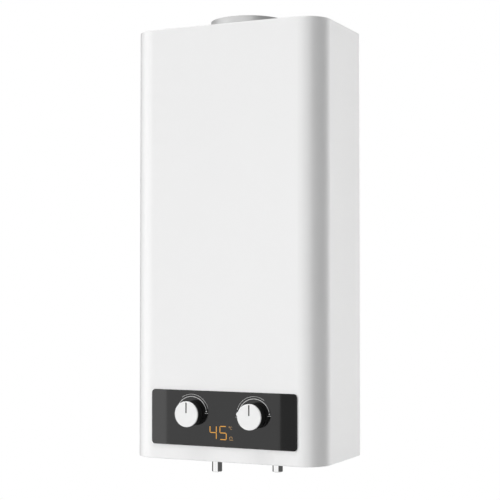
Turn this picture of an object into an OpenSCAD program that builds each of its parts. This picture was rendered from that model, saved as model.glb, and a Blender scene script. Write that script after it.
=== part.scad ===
// Wall-hung instantaneous gas water heater with an open-flued draught hood.
// Origin: wall face, at the middle of the wall screw pattern and of the cover.
// +X is to the right seen from the front, +Y goes into the wall, +Z is up.

/* [Cover] */
// Width of the painted cover
body_w = 293; // [280:1:340]
// Height of the painted cover
body_h = 610; // [590:1:680]
// Depth from the wall to the front of the cover
body_d = 150; // [148:1:180]
// Radius of the upright front corners
corner_r = 34; // [12:1:40]
// Outer radius of the folds along the top and bottom edges
fold_r = 1.4; // [1.2:0.1:4]
// Thickness of the cover sheet
sheet_t = 0.8; // [0.6:0.1:1]
// Width of one air slot
slot_w = 4; // [3:0.5:5]
// Distance between air slots
slot_pitch = 10; // [8:0.5:14]
// Number of slots in each group in the top
top_slots = 6; // [2:1:6]
// Length of the slots in the top
top_slot_len = 66; // [30:1:80]
// Number of slots in the bottom
bottom_slots = 17; // [5:1:18]
// Length of the slots in the bottom
bottom_slot_len = 30; // [15:1:34]
// Distance of the bottom slots from the front face
bottom_slot_in = 26; // [20:1:28]

/* [Back plate] */
// Thickness of the back plate
plate_t = 1; // [0.8:0.1:1.5]
// How far the plate's outline stays inside the cover's
plate_inset = 0.6; // [0.3:0.1:2]
// Forward depth of the plate's folded edges
flange_d = 14; // [10:1:14]
// Gap between the folded side edges and the cover
flange_gap = 0.3; // [0.2:0.1:1]
// Width of the wall tabs
tab_w = 210; // [200:1:240]
// Height of the upper wall tab above the cover
tab_up = 20; // [16:1:26]
// Height of the lower wall tab below the cover
tab_down = 16; // [14:1:16]
// Corner radius of the wall tabs
tab_r = 8; // [2:1:12]
// Distance between wall screws across
bolt_pitch_x = 180; // [160:1:184]
// Distance of the wall screws beyond the cover's edge
bolt_out = 9; // [7:0.5:10]
// Radius of the wall screw holes
bolt_hole_r = 3.2; // [2.5:0.1:4]
// Height of the keyhole's wide end above the cover
keyhole_up = 7; // [6.5:0.5:9]
// Radius of the keyhole's wide end
keyhole_r = 5.5; // [4:0.5:6]
// Width of the keyhole's slot
keyhole_slot = 5; // [4:0.5:6]
// Length of the keyhole's slot
keyhole_len = 6.5; // [5:0.5:7]
// Half distance between the pressed beads
bead_x = 34; // [30:1:80]
// Radius of the pressed beads
bead_r = 4; // [3:0.5:5]
// Length of the pressed beads
bead_len = 380; // [100:10:400]

/* [Control panel] */
// Width of the glass panel
panel_w = 223; // [180:1:224]
// Height of the glass panel
panel_h = 77; // [70:1:90]
// How far the glass stands out from the cover
panel_t = 1.5; // [1.2:0.1:4]
// Corner radius of the glass
panel_r = 5; // [2:0.5:8]
// Height of the panel's lower edge above the cover's
panel_up = 20.8; // [15:0.1:30]
// How far the glass laps over the cover around the window
panel_lap = 6; // [4:0.5:6]
// Gap between the carrier and the window
carrier_gap = 0.3; // [0.2:0.1:1]
// Thickness of the carrier's plate
carrier_t = 2.5; // [2:0.1:4]
// Length of the carrier's board posts
post_h = 5; // [3:0.5:8]
// Radius of the board posts
post_r = 3; // [2:0.5:4]
// Width of the display board
board_w = 64; // [56:1:66]
// Height of the display board
board_h = 56; // [50:1:58]
// Thickness of the display board
board_t = 1.6; // [1:0.1:2.4]
// Width of the display module
led_w = 42; // [30:1:44]
// Height of the display module
led_h = 22; // [14:1:24]
// Sideways place of the display module
led_x = -2; // [-5:0.5:5]
// Drop of the display module below the middle of the panel
led_drop = 19; // [17:0.5:20]

/* [Knobs] */
// Distance between the two knobs
knob_pitch = 96; // [94:0.5:104]
// Height of the knobs above the middle of the panel
knob_up = 6.5; // [5:0.5:9]
// Diameter of a knob
knob_d = 35.4; // [30:0.1:40]
// Height of a knob's face above the glass
knob_h = 17; // [12:0.5:22]
// Gap between a knob's skirt and the glass
knob_gap = 0.6; // [0.4:0.1:1.5]
// Wall of a knob's skirt
knob_wall = 2; // [1.5:0.1:3]
// Thickness of a knob's face disc
cap_t = 2.4; // [1.8:0.1:4]
// Chamfer around the face disc
cap_chamfer = 0.4; // [0.3:0.1:1.2]
// How far the black skirt stays inside the face disc
skirt_in = 0.4; // [0.2:0.1:1]
// Width of the pointer line
pointer_w = 1.9; // [0.8:0.1:2.4]
// Inner end of the pointer line from the knob's centre
pointer_from = 1.7; // [1:0.1:5]
// Outer end of the pointer line from the knob's centre
pointer_to = 16.3; // [10:0.1:16.4]
// Depth of the pointer line
pointer_t = 0.5; // [0.3:0.1:1]
// Radius of the spindles
spindle_r = 4; // [3:0.5:5]
// Wall of the knob's hub around its spindle
hub_wall = 3; // [2:0.5:4]
// Gap between a spindle and its guide
run_fit = 0.05; // [0.02:0.01:0.08]
// Gap between a spindle and the panel
panel_hole_gap = 2; // [1:0.5:4]

/* [Flue] */
// Diameter of the flue collar
flue_d = 110; // [90:1:112]
// Wall of the flue collar
flue_wall = 0.8; // [0.5:0.1:1.2]
// Distance of the flue's axis from the wall
flue_from_wall = 65; // [64:0.5:70]
// Height of the collar's rim above the cover
flue_rise = 16; // [12:0.5:30]
// Radius of the collar's stop bead
flue_bead_r = 1.4; // [1:0.1:2]
// Width of the collar's foot
flue_foot = 5; // [3:0.5:6]
// Gap between the collar and the cover's notch
flue_gap = 4; // [3:0.5:6]
// Gap between the collar and the trim plate
trim_gap = 0.3; // [0.2:0.1:1]
// How far the trim plate laps around the collar
trim_lap = 12; // [8:1:12]

/* [Heat exchanger] */
// Distance from the cover's top to the draught hood
hood_drop = 15; // [12:1:20]
// Height of the draught hood
hood_h = 80; // [60:1:84]
// Width of the hood's top
hood_top_w = 140; // [126:1:150]
// Depth of the hood's top
hood_top_d = 116; // [114:1:120]
// Width of the draught opening in the hood
relief_w = 130; // [60:1:130]
// Height of the draught opening in the hood
relief_h = 18; // [10:1:24]
// Width of the combustion chamber
chamber_w = 196; // [186:1:200]
// Depth of the combustion chamber
chamber_d = 88; // [84:1:90]
// Height of the combustion chamber
chamber_h = 215; // [205:1:225]
// Sheet of the chamber, the hood and the burner frame
shell_t = 1; // [0.6:0.1:1.5]
// Number of fins
fin_n = 32; // [10:1:34]
// Distance between fins
fin_pitch = 5.4; // [4:0.1:5.4]
// Thickness of a fin
fin_t = 0.5; // [0.3:0.1:0.8]
// Height of the fins
fin_h = 45; // [30:1:50]
// Distance of the fins below the chamber's top
fin_drop = 8; // [4:1:12]
// Radius of the exchanger tubes
tube_r = 7; // [5:0.5:7]
// Wall of the copper tubes
tube_wall = 0.8; // [0.5:0.1:1.2]
// Distance between exchanger tubes
tube_pitch = 17; // [16:0.5:17.5]
// Length of the tubes beyond the chamber wall
tube_out = 3; // [2:0.5:6]
// Gap between a tube and the sheet around it
tube_gap = 0.15; // [0.05:0.05:0.4]
// Radius of the coil around the chamber
coil_r = 6; // [4:0.5:6]
// Gap between the coil and the chamber
coil_gap = 0.3; // [0.1:0.1:0.5]
// Bend radius of the pipes
bend_r = 14; // [13:0.5:16]
// How far a straight pipe reaches into an elbow
elbow_lap = 0.5; // [0.2:0.1:1]
// How much thicker an elbow's wall is on each side
elbow_step = 0.05; // [0.04:0.01:0.2]
// Height of the first coil turn above the chamber's lower edge
coil_up = 45; // [40:1:50]
// Distance between coil turns
coil_pitch = 36; // [34:1:40]
// Distance of the risers from the cover's sides
riser_in = 22.5; // [22:0.5:26]
// Height of the pipes' jogs above the valve outlets
jog_up = 48; // [30:1:60]

/* [Burner] */
// Height of the burner frame
burner_h = 70; // [66:1:80]
// Number of burner bars
bar_n = 10; // [4:1:10]
// Distance between burner bars
bar_pitch = 18.5; // [15:0.5:18.5]
// Height of the bars' mixing tubes above the frame's lower edge
bar_up = 13; // [12:0.5:16]
// Radius of a bar's mixing tube
bar_tube_r = 7; // [6:0.5:7.2]
// Radius of a mixing tube's mouth
bar_mouth_r = 4.5; // [3:0.5:5.5]
// Depth of a mixing tube's bore
bar_mouth_len = 50; // [20:1:60]
// Thickness of a bar's neck
bar_neck = 4; // [3:0.5:6]
// Width of a bar's flame head
bar_head_w = 11; // [8:0.5:13]
// Height of a bar's flame head
bar_head_h = 14; // [8:1:20]
// Drop of the flame heads below the chamber
bar_drop = 4; // [2:0.5:6]
// Number of flame slots in a bar
port_n = 11; // [4:1:12]
// Width of a flame slot
port_w = 1.6; // [1:0.1:2.5]
// Depth of a flame slot
port_d = 5; // [2:0.5:7]
// Distance between flame slots
port_pitch = 7; // [4:0.5:7]
// Length of a gas jet
jet_len = 8; // [6:0.5:9]
// Radius of a gas jet
jet_r = 3.6; // [2.5:0.1:4]
// Radius of the jet holes in the burner frame
jet_hole_r = 5; // [4.5:0.1:5.5]
// Gap between the manifold and the burner frame
manifold_gap = 10; // [9.5:0.5:12]
// Depth of the gas manifold
manifold_d = 14; // [14:0.5:18]
// Height of the gas manifold
manifold_h = 18; // [16:0.5:20]
// How far the manifold's ends stay inside the burner frame's sides
manifold_end = 0.75; // [0.5:0.05:14]
// Width of the manifold's lugs
lug_w = 5; // [5:0.5:8]
// Radius of the gas feed pipe
feed_r = 6.5; // [5:0.5:7.5]
// Sheet of the brackets
bracket_t = 1.5; // [1:0.1:2]
// Width of the brackets' feet
foot_w = 16; // [10:1:18]
// Height of the side brackets above the burner frame
bracket_up = 25; // [15:1:28]
// How far the side brackets stay behind the chamber's front
bracket_in = 6; // [0:1:20]

/* [Valves] */
// Length of the gas valve to the left of its spindle
gas_left = 32; // [28:0.5:34]
// Length of the gas valve to the right of its spindle
gas_right = 34.5; // [33:0.5:34.5]
// Radius of the gas valve's barrel
gas_r = 20; // [18:0.5:22]
// Radius of the gas valve's chamber
gas_bore_r = 12; // [11:0.5:13]
// Place of the valve seat to the right of the gas spindle
seat_off = 14.5; // [13:0.5:16]
// Thickness of the valve seat
seat_t = 4; // [3:0.5:5]
// Radius of the hole in the valve seat
seat_r = 7; // [5:0.5:8]
// Length of the outlet chamber behind the seat
outlet_len = 10; // [8:0.5:10]
// Radius of the upright valve bosses
boss_r = 11; // [10:0.5:12]
// Radius of the inlet bosses
inlet_boss_r = 14; // [12:0.5:15]
// Radius of the flow passages
flow_r = 7; // [5:0.5:7.5]
// Height of the valve outlets above the spindles
boss_up = 34; // [33:0.5:40]
// Drop of the valve inlets below the spindles
boss_down = 30; // [26:0.5:31]
// Length of the front bosses from the valve's axis
boss_front = 36; // [34:0.5:40]
// Radius of the diaphragm housing
housing_r = 32; // [30:0.5:33]
// Thickness of each half of the housing
housing_t = 10; // [9:0.5:12]
// Depth of the hollow in each half
hollow_d = 6; // [5.5:0.5:7]
// Radius of the hollow in each half
hollow_r = 24; // [22:0.5:24.5]
// Thickness of the diaphragm
membrane_t = 1.6; // [1:0.1:2.5]
// Place of the diaphragm to the left of the water spindle
membrane_off = 34.5; // [34:0.5:36]
// Length of the water valve to the right of its spindle
water_right = 39.5; // [39:0.5:42]
// Radius of the water valve's barrel
water_r = 17; // [16:0.5:19]
// Radius of the water valve's passage
water_bore_r = 10; // [8:0.5:11]
// Place of the water outlet to the right of the spindle
water_out = 24; // [23:0.5:26]
// Place of the drain to the right of the water spindle
drain_off = 27.5; // [26:0.5:29]
// Radius of the drain plug's stem
drain_r = 5; // [4:0.5:5.5]
// Radius of the drain plug's grip
drain_head_r = 8; // [6:0.5:9]
// Height of the drain plug's grip
drain_head_h = 7; // [4:0.5:9]
// Gap between the drain plug's grip and the cover
drain_gap = 1; // [0.5:0.1:2]
// Radius of the push rod
rod_r = 2.5; // [2:0.1:3]
// Travel of the push rod
rod_travel = 3; // [2:0.5:3.5]
// Radius of the push rod's plate
rod_plate_r = 19; // [15:0.5:21]
// Thickness of the push rod's plate
rod_plate_t = 2; // [1.5:0.1:2.5]
// Radius of the gas disc on the push rod
rod_disc_r = 10; // [9:0.5:10.5]
// Thickness of the gas disc
rod_disc_t = 3; // [2:0.5:4]
// Gap of the push rod's plate and disc to their seats at rest
rod_gap = 0.3; // [0.2:0.1:0.5]
// Radius of the rod guide on the housing
guide_r = 8; // [6:0.5:9]
// Length of the rod guide
guide_len = 6; // [4:0.5:6]
// Thickness of the arms between the two valves
arm_t = 8; // [5:0.5:9]
// Distance of the arms from the rod
arm_off = 15; // [14.5:0.5:17]
// Radius of the circle of housing screws
screw_ring_r = 28.2; // [28:0.1:28.5]
// Number of housing screws
screw_n = 6; // [4:1:8]
// Radius of a small screw's shank
screw_r = 1.8; // [1.5:0.1:2]
// Radius of a small screw's head
screw_head_r = 3.5; // [2.5:0.1:3.7]
// Height of a small screw's head
screw_head_h = 2.4; // [1.5:0.1:3]
// Gap around a screw's shank
screw_gap = 0.2; // [0.1:0.05:0.3]
// Radius of the solenoid
solenoid_r = 16; // [13:0.5:18]
// Length of the solenoid
solenoid_len = 30; // [20:1:32]
// Length of the solenoid's spigot
spigot_len = 6; // [4:0.5:8]
// Width of the microswitch
switch_w = 15; // [10:0.5:15]
// Height of the microswitch
switch_h = 10; // [6:0.5:12]

/* [Pipe tails] */
// Outer diameter of the pipe tails
tail_d = 14.6; // [14:0.1:19]
// Wall of the pipe tails
tail_wall = 1.5; // [1:0.1:2]
// Distance of the gas and cold tails from the wall
pipe_from_wall = 71.5; // [70:0.5:75]
// Drop of the gas tail below the cover
gas_drop = 25.6; // [20:0.1:40]
// Drop of the cold tail below the cover
cold_drop = 20.3; // [18:0.1:40]
// Drop of the hot tail below the cover
hot_drop = 13; // [10:0.1:15]
// Step from a tail down to the pipe inside
tail_step = 0.5; // [0.3:0.1:1]
// Chamfer at a tail's end
tail_chamfer = 1; // [0.5:0.1:1.4]
// Thickness of a tail's flange
tail_flange_t = 4; // [3:0.5:5]
// Height of the hot tail's joint above the cover's bottom
hot_joint_up = 40; // [30:1:60]
// Width of a grommet's ring beyond the pipe
grommet_w = 5; // [4:0.5:6]
// Thickness of a grommet's lip
grommet_lip = 1.5; // [1:0.1:2]
// Depth of a grommet's groove
grommet_groove = 2; // [1:0.1:2.5]
// Gap inside and around a grommet
grommet_gap = 0.15; // [0.1:0.05:0.3]

/* [Ignition and sensors] */
// Width of the igniter box
igniter_w = 56; // [40:1:58]
// Depth of the igniter box
igniter_d = 38; // [20:1:42]
// Height of the igniter box
igniter_h = 76; // [50:1:80]
// Drop of the igniter box below the burner frame
igniter_drop = 44; // [40:1:60]
// Distance of the igniter box from the cover's side
igniter_in = 48.5; // [11:0.5:60]
// Edge radius of the igniter box
igniter_r = 4; // [1:0.5:6]
// Radius of the ignition lead
lead_r = 2.4; // [1.5:0.1:2.6]
// Distance of the lead from the chamber's side
lead_out = 11; // [10.5:0.5:12]
// Distance of the lead's front run from the electrodes' ends
lead_in = 8; // [7:0.5:13]
// Distance of the lead from the wall
lead_from_wall = 25; // [20:1:30]
// Bend radius of the lead
lead_bend = 6; // [4:0.5:6]
// Sideways place of the electrodes
electrode_x = 30; // [20:1:34]
// Height of the electrodes above the chamber's lower edge
electrode_up = 13; // [10:0.5:16]
// Radius of an electrode's ceramic
ceramic_r = 3.4; // [3:0.1:4]
// Length of the ceramic in front of the chamber
ceramic_out = 12; // [9:0.5:18]
// Length of the ceramic inside the chamber
ceramic_in = 8; // [4:0.5:12]
// Radius of an electrode's collar
ceramic_flange_r = 7; // [5:0.5:8]
// Thickness of an electrode's collar
ceramic_flange_t = 2; // [1:0.5:3]
// Radius of an electrode's rod
rod_tip_r = 0.8; // [0.5:0.1:1]
// Length of the rod beyond its ceramic
rod_tip_len = 18; // [8:1:24]
// Distance of the overheat switch from the chamber's right side
overheat_x = 36; // [18:1:60]
// Height of the overheat switch above the chamber's lower edge
overheat_up = 18; // [12:0.5:22]
// Radius of the overheat switch
overheat_r = 8; // [5:0.5:9]
// Height of the overheat switch
overheat_h = 8; // [5:0.5:10]
// Height of the outlet sensor above the hot tail's joint
sensor_up = 120; // [60:1:200]
// Wall of the outlet sensor's clip
sensor_wall = 2; // [1.5:0.1:3]
// Height of the outlet sensor's clip
sensor_h = 12; // [8:0.5:16]
// Radius of the outlet sensor's stem
sensor_r = 3.5; // [2:0.5:5]
// Length of the outlet sensor's stem
sensor_len = 14; // [8:0.5:18]

/* [Batteries] */
// Diameter of a cell
cell_d = 33; // [26:0.5:33.5]
// Length of a cell
cell_h = 60; // [50:0.5:61]
// Gap around a cell
cell_gap = 0.9; // [0.6:0.1:1.5]
// Radius of a cell's raised end
cell_nub_r = 5; // [3:0.5:6]
// Height of a cell's raised end
cell_nub_h = 1.5; // [1:0.1:2]
// Wall of the battery box
box_wall = 1.6; // [1.2:0.1:2]
// Distance of the battery box from the cover's side
box_in = 6; // [5:0.5:7]
// Distance of the battery box from the wall
box_from_wall = 22; // [20:0.5:26]
// Thickness of the battery lid
lid_t = 3; // [2.6:0.1:4]
// Gap around the battery lid
lid_gap = 0.4; // [0.3:0.1:0.6]
// Radius of the lid's hinge pins
lid_pin_r = 0.6; // [0.4:0.1:0.6]
// Length of the lid's hinge pins
lid_pin_len = 3; // [2:0.5:5]
// Radius of the finger notch in the lid
lid_notch_r = 6; // [4:0.5:8]
// Thickness of the battery contacts
contact_t = 0.8; // [0.4:0.1:1.2]
// Radius of the battery contacts
contact_r = 9; // [6:0.5:12]
// Gap between the cells and the lid
cell_lid_gap = 0.5; // [0.3:0.1:1]

/* [Cover screws] */
// Distance of the bottom screws from the middle
bottom_screw_x = 70; // [20:1:80]
// Distance of the top screws from the middle
top_screw_x = 112; // [90:1:118]
// Distance of the cover screws from the wall
cover_screw_in = 8; // [6:0.5:10]
// Length of a cover screw's shank
cover_screw_len = 6; // [3:0.5:8]

/* [Hidden] */
$fn = 64;
over = 1;
half_w = body_w / 2;
top_z = body_h / 2;
bot_z = -top_z;
front_y = -body_d;
rear_y = -plate_t;
in_top_z = top_z - sheet_t;
in_bot_z = bot_z + sheet_t;
in_half_w = half_w - sheet_t;

panel_z = bot_z + panel_up + panel_h / 2;
glass_y = front_y - panel_t;
window_w = panel_w - 2 * panel_lap;
window_h = panel_h - 2 * panel_lap;
led_z = panel_z - led_drop;
board_y = front_y + carrier_t + post_h;
knob_x = knob_pitch / 2;
knob_z = panel_z + knob_up;
knob_r = knob_d / 2;
skirt_r = knob_r - skirt_in;
shaft_hole_r = spindle_r + panel_hole_gap;

flue_y = -flue_from_wall;
flue_r = flue_d / 2;
notch_r = flue_r + flue_gap;
trim_half_w = flue_r + trim_lap;
hood_top_z = top_z - hood_drop;
chamber_top_z = hood_top_z - hood_h;
chamber_bot_z = chamber_top_z - chamber_h;
chamber_half_w = chamber_w / 2;
chamber_front_y = flue_y - chamber_d / 2;
chamber_rear_y = flue_y + chamber_d / 2;
chamber_r = bend_r - coil_r - coil_gap;
tube_n = 5;
tube_z = chamber_top_z - fin_drop - fin_h / 2;
tube_y = [for (k = [0 : tube_n - 1]) flue_y + (k - (tube_n - 1) / 2) * tube_pitch];
tube_end_x = chamber_half_w + tube_out;
tube_hole_r = tube_r + tube_gap;
riser_x = half_w - riser_in;

frame_bot_z = chamber_bot_z - burner_h;
bar_z = frame_bot_z + bar_up;
bar_top_z = chamber_bot_z - bar_drop;
bar_len = chamber_d - 2 * shell_t;
bar_x = [for (k = [0 : bar_n - 1]) (k - (bar_n - 1) / 2) * bar_pitch];
manifold_rear_y = chamber_front_y - manifold_gap;
manifold_half_w = chamber_half_w - manifold_end;

pipe_y = -pipe_from_wall;
valve_top_z = knob_z + boss_up;
valve_bot_z = knob_z - boss_down;
jog_z = valve_top_z + jog_up;
valve_front_y = pipe_y - boss_front;
gas_x0 = -knob_x - gas_left;
gas_x1 = -knob_x + gas_right;
seat_x = -knob_x + seat_off;
outlet_x0 = seat_x + seat_t;
outlet_x1 = outlet_x0 + outlet_len;
feed_x = outlet_x0 + outlet_len / 2;
membrane_x = knob_x - membrane_off;
lower_half_x = membrane_x + membrane_t;
cover_x0 = membrane_x - housing_t;
water_x1 = knob_x + water_right;
water_out_x = knob_x + water_out;
drain_x = knob_x + drain_off;
shelf_z = valve_bot_z - tail_flange_t;

tail_r = tail_d / 2;
tail_in_r = tail_r - tail_wall;
run_r = tail_r - tail_step;
grommet_r = tail_r + grommet_w;
grommet_hole_r = grommet_r - grommet_groove;
hot_y = tube_y[tube_n - 1];
hot_joint_z = bot_z + hot_joint_up;

electrode_z = chamber_bot_z + electrode_up;
ceramic_front_y = chamber_front_y - ceramic_out;
igniter_x = half_w - igniter_in - igniter_w / 2;
igniter_top_z = frame_bot_z - igniter_drop;
lead_x = chamber_half_w + lead_out;

box_in_w = cell_d + 2 * cell_gap;
box_in_d = 2 * cell_d + 3 * cell_gap;
box_x = half_w - box_in - box_wall - box_in_w / 2;
box_y = -box_from_wall - box_wall - box_in_d / 2;
lid_top_z = bot_z + lid_t;
cell_z = lid_top_z + cell_lid_gap;
contact_z = cell_z + cell_h;
box_top_z = contact_z + contact_t;
hinge_r = lid_t / 2;
hinge_y = box_y + box_in_d / 2 - lid_gap - hinge_r;
hinge_z = bot_z + hinge_r;

// Turns a shape that is drawn upwards so that it points out of the front.
module to_front() rotate([90, 0, 0]) children();

// Turns a shape that is drawn upwards so that it points to the right.
module to_right() rotate([90, 0, 90]) children();

module round_rect(w, h, r) {
    square([w - 2 * r, h], center = true);
    square([w, h - 2 * r], center = true);
    for (x = [-1, 1], y = [-1, 1]) translate([x * (w / 2 - r), y * (h / 2 - r)]) circle(r);
}

// A long hole with round ends, along y.
module long_hole(w, len) {
    square([w, len - w], center = true);
    for (s = [-1, 1]) translate([0, s * (len - w) / 2]) circle(w / 2);
}

module ring(ro, ri) {
    difference() {
        circle(ro);
        circle(ri);
    }
}

// A rectangle with x from 0 to w, z from -h/2 to h/2 and its outer two corners rounded.
module edge_profile(w, h, e) {
    translate([0, -h / 2]) square([w - e, h]);
    translate([0, e - h / 2]) square([w, h - 2 * e]);
    for (s = [-1, 1]) translate([w - e, s * (h / 2 - e)]) circle(e);
}

// A block with round upright front corners and folded top and bottom edges.
module cover_block(w, d, h, r, e, back_y) {
    to_right() translate([r - d, 0]) linear_extrude(w - 2 * r, center = true)
        mirror([1, 0]) edge_profile(r, h, e);
    translate([0, back_y, 0]) to_front() linear_extrude(back_y + d - r)
        for (s = [0, 1]) mirror([s, 0]) edge_profile(w / 2, h, e);
    for (s = [0, 1]) mirror([s, 0, 0]) translate([w / 2 - r, r - d, 0])
        rotate([0, 0, -90]) rotate_extrude(angle = 90) edge_profile(r, h, e);
}

function unit(v) = v / norm(v);
function heading(pts, i) = unit(pts[i + 1] - pts[i]);
function turn_angle(pts, i) = acos(heading(pts, i - 1) * heading(pts, i));
function is_end(pts, i) = i == 0 || i == len(pts) - 1;
function turn_trim(pts, i, bend) = is_end(pts, i) ? 0 : bend * tan(turn_angle(pts, i) / 2);
function lap_at(pts, i) = is_end(pts, i) ? 0 : elbow_lap;
function side_of(z) = unit(cross(abs(z.z) < 0.5 ? [0, 0, 1] : [1, 0, 0], z));
function placed(x, y, z, p) =
    [[x.x, y.x, z.x, p.x], [x.y, y.y, z.y, p.y], [x.z, y.z, z.z, p.z], [0, 0, 0, 1]];

// A tube with bends of one radius that runs through the given corner points.
module tube_path(pts, bend, ro, ri) {
    for (i = [0 : len(pts) - 2]) {
        z = heading(pts, i);
        x = side_of(z);
        from = pts[i] + z * (turn_trim(pts, i, bend) - lap_at(pts, i));
        to = pts[i + 1] - z * (turn_trim(pts, i + 1, bend) - lap_at(pts, i + 1));
        multmatrix(placed(x, cross(z, x), z, from)) linear_extrude(norm(to - from)) ring(ro, ri);
    }
    for (i = [1 : len(pts) - 2]) {
        y = heading(pts, i - 1);
        x = -unit(heading(pts, i) - y * (heading(pts, i) * y));
        centre = pts[i] - y * turn_trim(pts, i, bend) - x * bend;
        multmatrix(placed(x, y, cross(x, y), centre)) rotate_extrude(angle = turn_angle(pts, i))
            translate([bend, 0]) ring(ro + elbow_step, ri - elbow_step);
    }
}

// Pressed sheet cover, open at the back, with its notch, window, slots and holes.
module front_cover() color("white") difference() {
    cover_block(body_w, body_d, body_h, corner_r, fold_r, rear_y);
    cover_block(body_w - 2 * sheet_t, body_d - sheet_t, body_h - 2 * sheet_t,
        corner_r - sheet_t, fold_r - sheet_t, rear_y + over);
    translate([0, 0, in_top_z - over]) linear_extrude(sheet_t + 2 * over) {
        translate([0, flue_y]) circle(notch_r);
        translate([-notch_r, flue_y]) square([2 * notch_r, flue_from_wall]);
    }
    for (s = [-1, 1], k = [0 : top_slots - 1])
        translate([s * (trim_half_w + slot_w + k * slot_pitch), flue_y, in_top_z - over])
            linear_extrude(sheet_t + 2 * over) long_hole(slot_w, top_slot_len);
    for (k = [0 : bottom_slots - 1])
        translate([(k - (bottom_slots - 1) / 2) * slot_pitch, front_y + bottom_slot_in, bot_z - over])
            linear_extrude(sheet_t + 2 * over) long_hole(slot_w, bottom_slot_len);
    translate([0, front_y + sheet_t + over, panel_z]) to_front()
        linear_extrude(sheet_t + 2 * over) square([window_w, window_h], center = true);
    translate([box_x, box_y, bot_z]) cube([box_in_w, box_in_d, 2 * sheet_t + over], center = true);
    for (p = [[-knob_x, pipe_y], [knob_x, pipe_y], [-riser_x, hot_y]])
        translate([p.x, p.y, bot_z - over]) cylinder(h = sheet_t + 2 * over, r = grommet_hole_r);
    translate([drain_x, pipe_y, bot_z - over])
        cylinder(h = sheet_t + 2 * over, r = drain_r + drain_gap);
    cover_screw_places() cylinder(h = 2 * cover_screw_len, r = screw_r + screw_gap, center = true);
}

// The four cover screws' seats, each pointing out of the casing.
module cover_screw_places() {
    for (s = [-1, 1]) {
        translate([s * top_screw_x, -cover_screw_in, top_z]) children();
        translate([s * bottom_screw_x, -cover_screw_in, bot_z]) rotate([180, 0, 0]) children();
    }
}

module cover_screws() color("silver") cover_screw_places() {
    cylinder(h = screw_head_h, r = screw_head_r);
    translate([0, 0, -cover_screw_len]) cylinder(h = cover_screw_len + screw_head_h / 2, r = screw_r);
}

module tab_outline(out) translate([0, top_z - plate_inset - tab_r])
    translate([0, (out + plate_inset + tab_r) / 2])
        round_rect(tab_w, out + plate_inset + tab_r, tab_r);

// Back plate with wall tabs, folded edges and two pressed beads.
module back_plate() color("gainsboro") difference() {
    union() {
        to_front() linear_extrude(plate_t) {
            square([body_w - 2 * plate_inset, body_h - 2 * plate_inset], center = true);
            tab_outline(tab_up);
            mirror([0, 1]) tab_outline(tab_down);
        }
        for (s = [0, 1]) mirror([s, 0, 0]) {
            translate([in_half_w - flange_gap - plate_t, rear_y - flange_d, in_bot_z + corner_r])
                cube([plate_t, flange_d, in_top_z - in_bot_z - 2 * corner_r]);
            translate([0, rear_y - flange_d, in_bot_z])
                cube([in_half_w - corner_r, flange_d, plate_t]);
            translate([trim_half_w + over, rear_y - flange_d, in_top_z - plate_t])
                cube([in_half_w - corner_r / 2 - trim_half_w, flange_d, plate_t]);
            translate([bead_x, 0, -bead_len / 2]) cylinder(h = bead_len, r = bead_r);
        }
    }
    for (s = [-1, 1]) translate([s * bead_x, 0, -bead_len / 2 + plate_t])
        cylinder(h = bead_len - 2 * plate_t, r = bead_r - plate_t);
    translate([-half_w, 0, bot_z - body_h]) cube([body_w, body_d, 3 * body_h]);
    for (x = [-1, 1], z = [-1, 1]) translate([x * bolt_pitch_x / 2, over, z * (top_z + bolt_out)])
        to_front() cylinder(h = plate_t + 2 * over, r = bolt_hole_r);
    translate([0, over, top_z + keyhole_up]) to_front() linear_extrude(plate_t + 2 * over) {
        circle(keyhole_r);
        translate([0, keyhole_len / 2]) long_hole(keyhole_slot, keyhole_len + keyhole_slot);
    }
    cover_screw_places() cylinder(h = 2 * cover_screw_len, r = screw_r + screw_gap, center = true);
}

// Closing plate around the collar, under the cover's notch.
module flue_trim() color("gainsboro") difference() {
    translate([-trim_half_w, flue_y - trim_half_w, in_top_z - plate_t])
        cube([2 * trim_half_w, trim_half_w - flue_y + rear_y, plate_t]);
    translate([0, flue_y, in_top_z - plate_t - over])
        cylinder(h = plate_t + 2 * over, r = flue_r + trim_gap);
}

module flue_collar() color("silver") translate([0, flue_y, 0]) rotate_extrude($fn = 128) {
    translate([flue_r - flue_wall, hood_top_z])
        square([flue_wall, top_z + flue_rise - hood_top_z]);
    translate([flue_r - flue_wall, hood_top_z]) square([flue_foot + flue_wall, shell_t]);
    intersection() {
        translate([flue_r, top_z + flue_bead_r]) circle(flue_bead_r);
        translate([flue_r - flue_wall / 2, top_z]) square(2 * flue_bead_r);
    }
}

// A block that widens or narrows evenly between two rectangles around the flue's axis.
module frustum(w0, d0, z0, w1, d1, z1) intersection() {
    to_front() linear_extrude(2 * body_d, center = true)
        polygon([[-w0 / 2, z0], [w0 / 2, z0], [w1 / 2, z1], [-w1 / 2, z1]]);
    translate([0, flue_y, 0]) to_right() linear_extrude(2 * body_w, center = true)
        polygon([[-d0 / 2, z0], [d0 / 2, z0], [d1 / 2, z1], [-d1 / 2, z1]]);
}

// Gathering hood over the fins, with the draught opening in its front.
module draft_hood() color("lightgray") difference() {
    frustum(chamber_w, chamber_d, chamber_top_z, hood_top_w, hood_top_d, hood_top_z);
    frustum(chamber_w - 2 * shell_t, chamber_d - 2 * shell_t, chamber_top_z - over,
        hood_top_w - 2 * shell_t, hood_top_d - 2 * shell_t, hood_top_z - shell_t);
    translate([0, flue_y, hood_top_z - 2 * shell_t])
        cylinder(h = 3 * shell_t, r = flue_r - flue_wall, $fn = 128);
    translate([-relief_w / 2, flue_y - body_d, chamber_top_z + relief_h])
        cube([relief_w, body_d, relief_h]);
}

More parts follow.
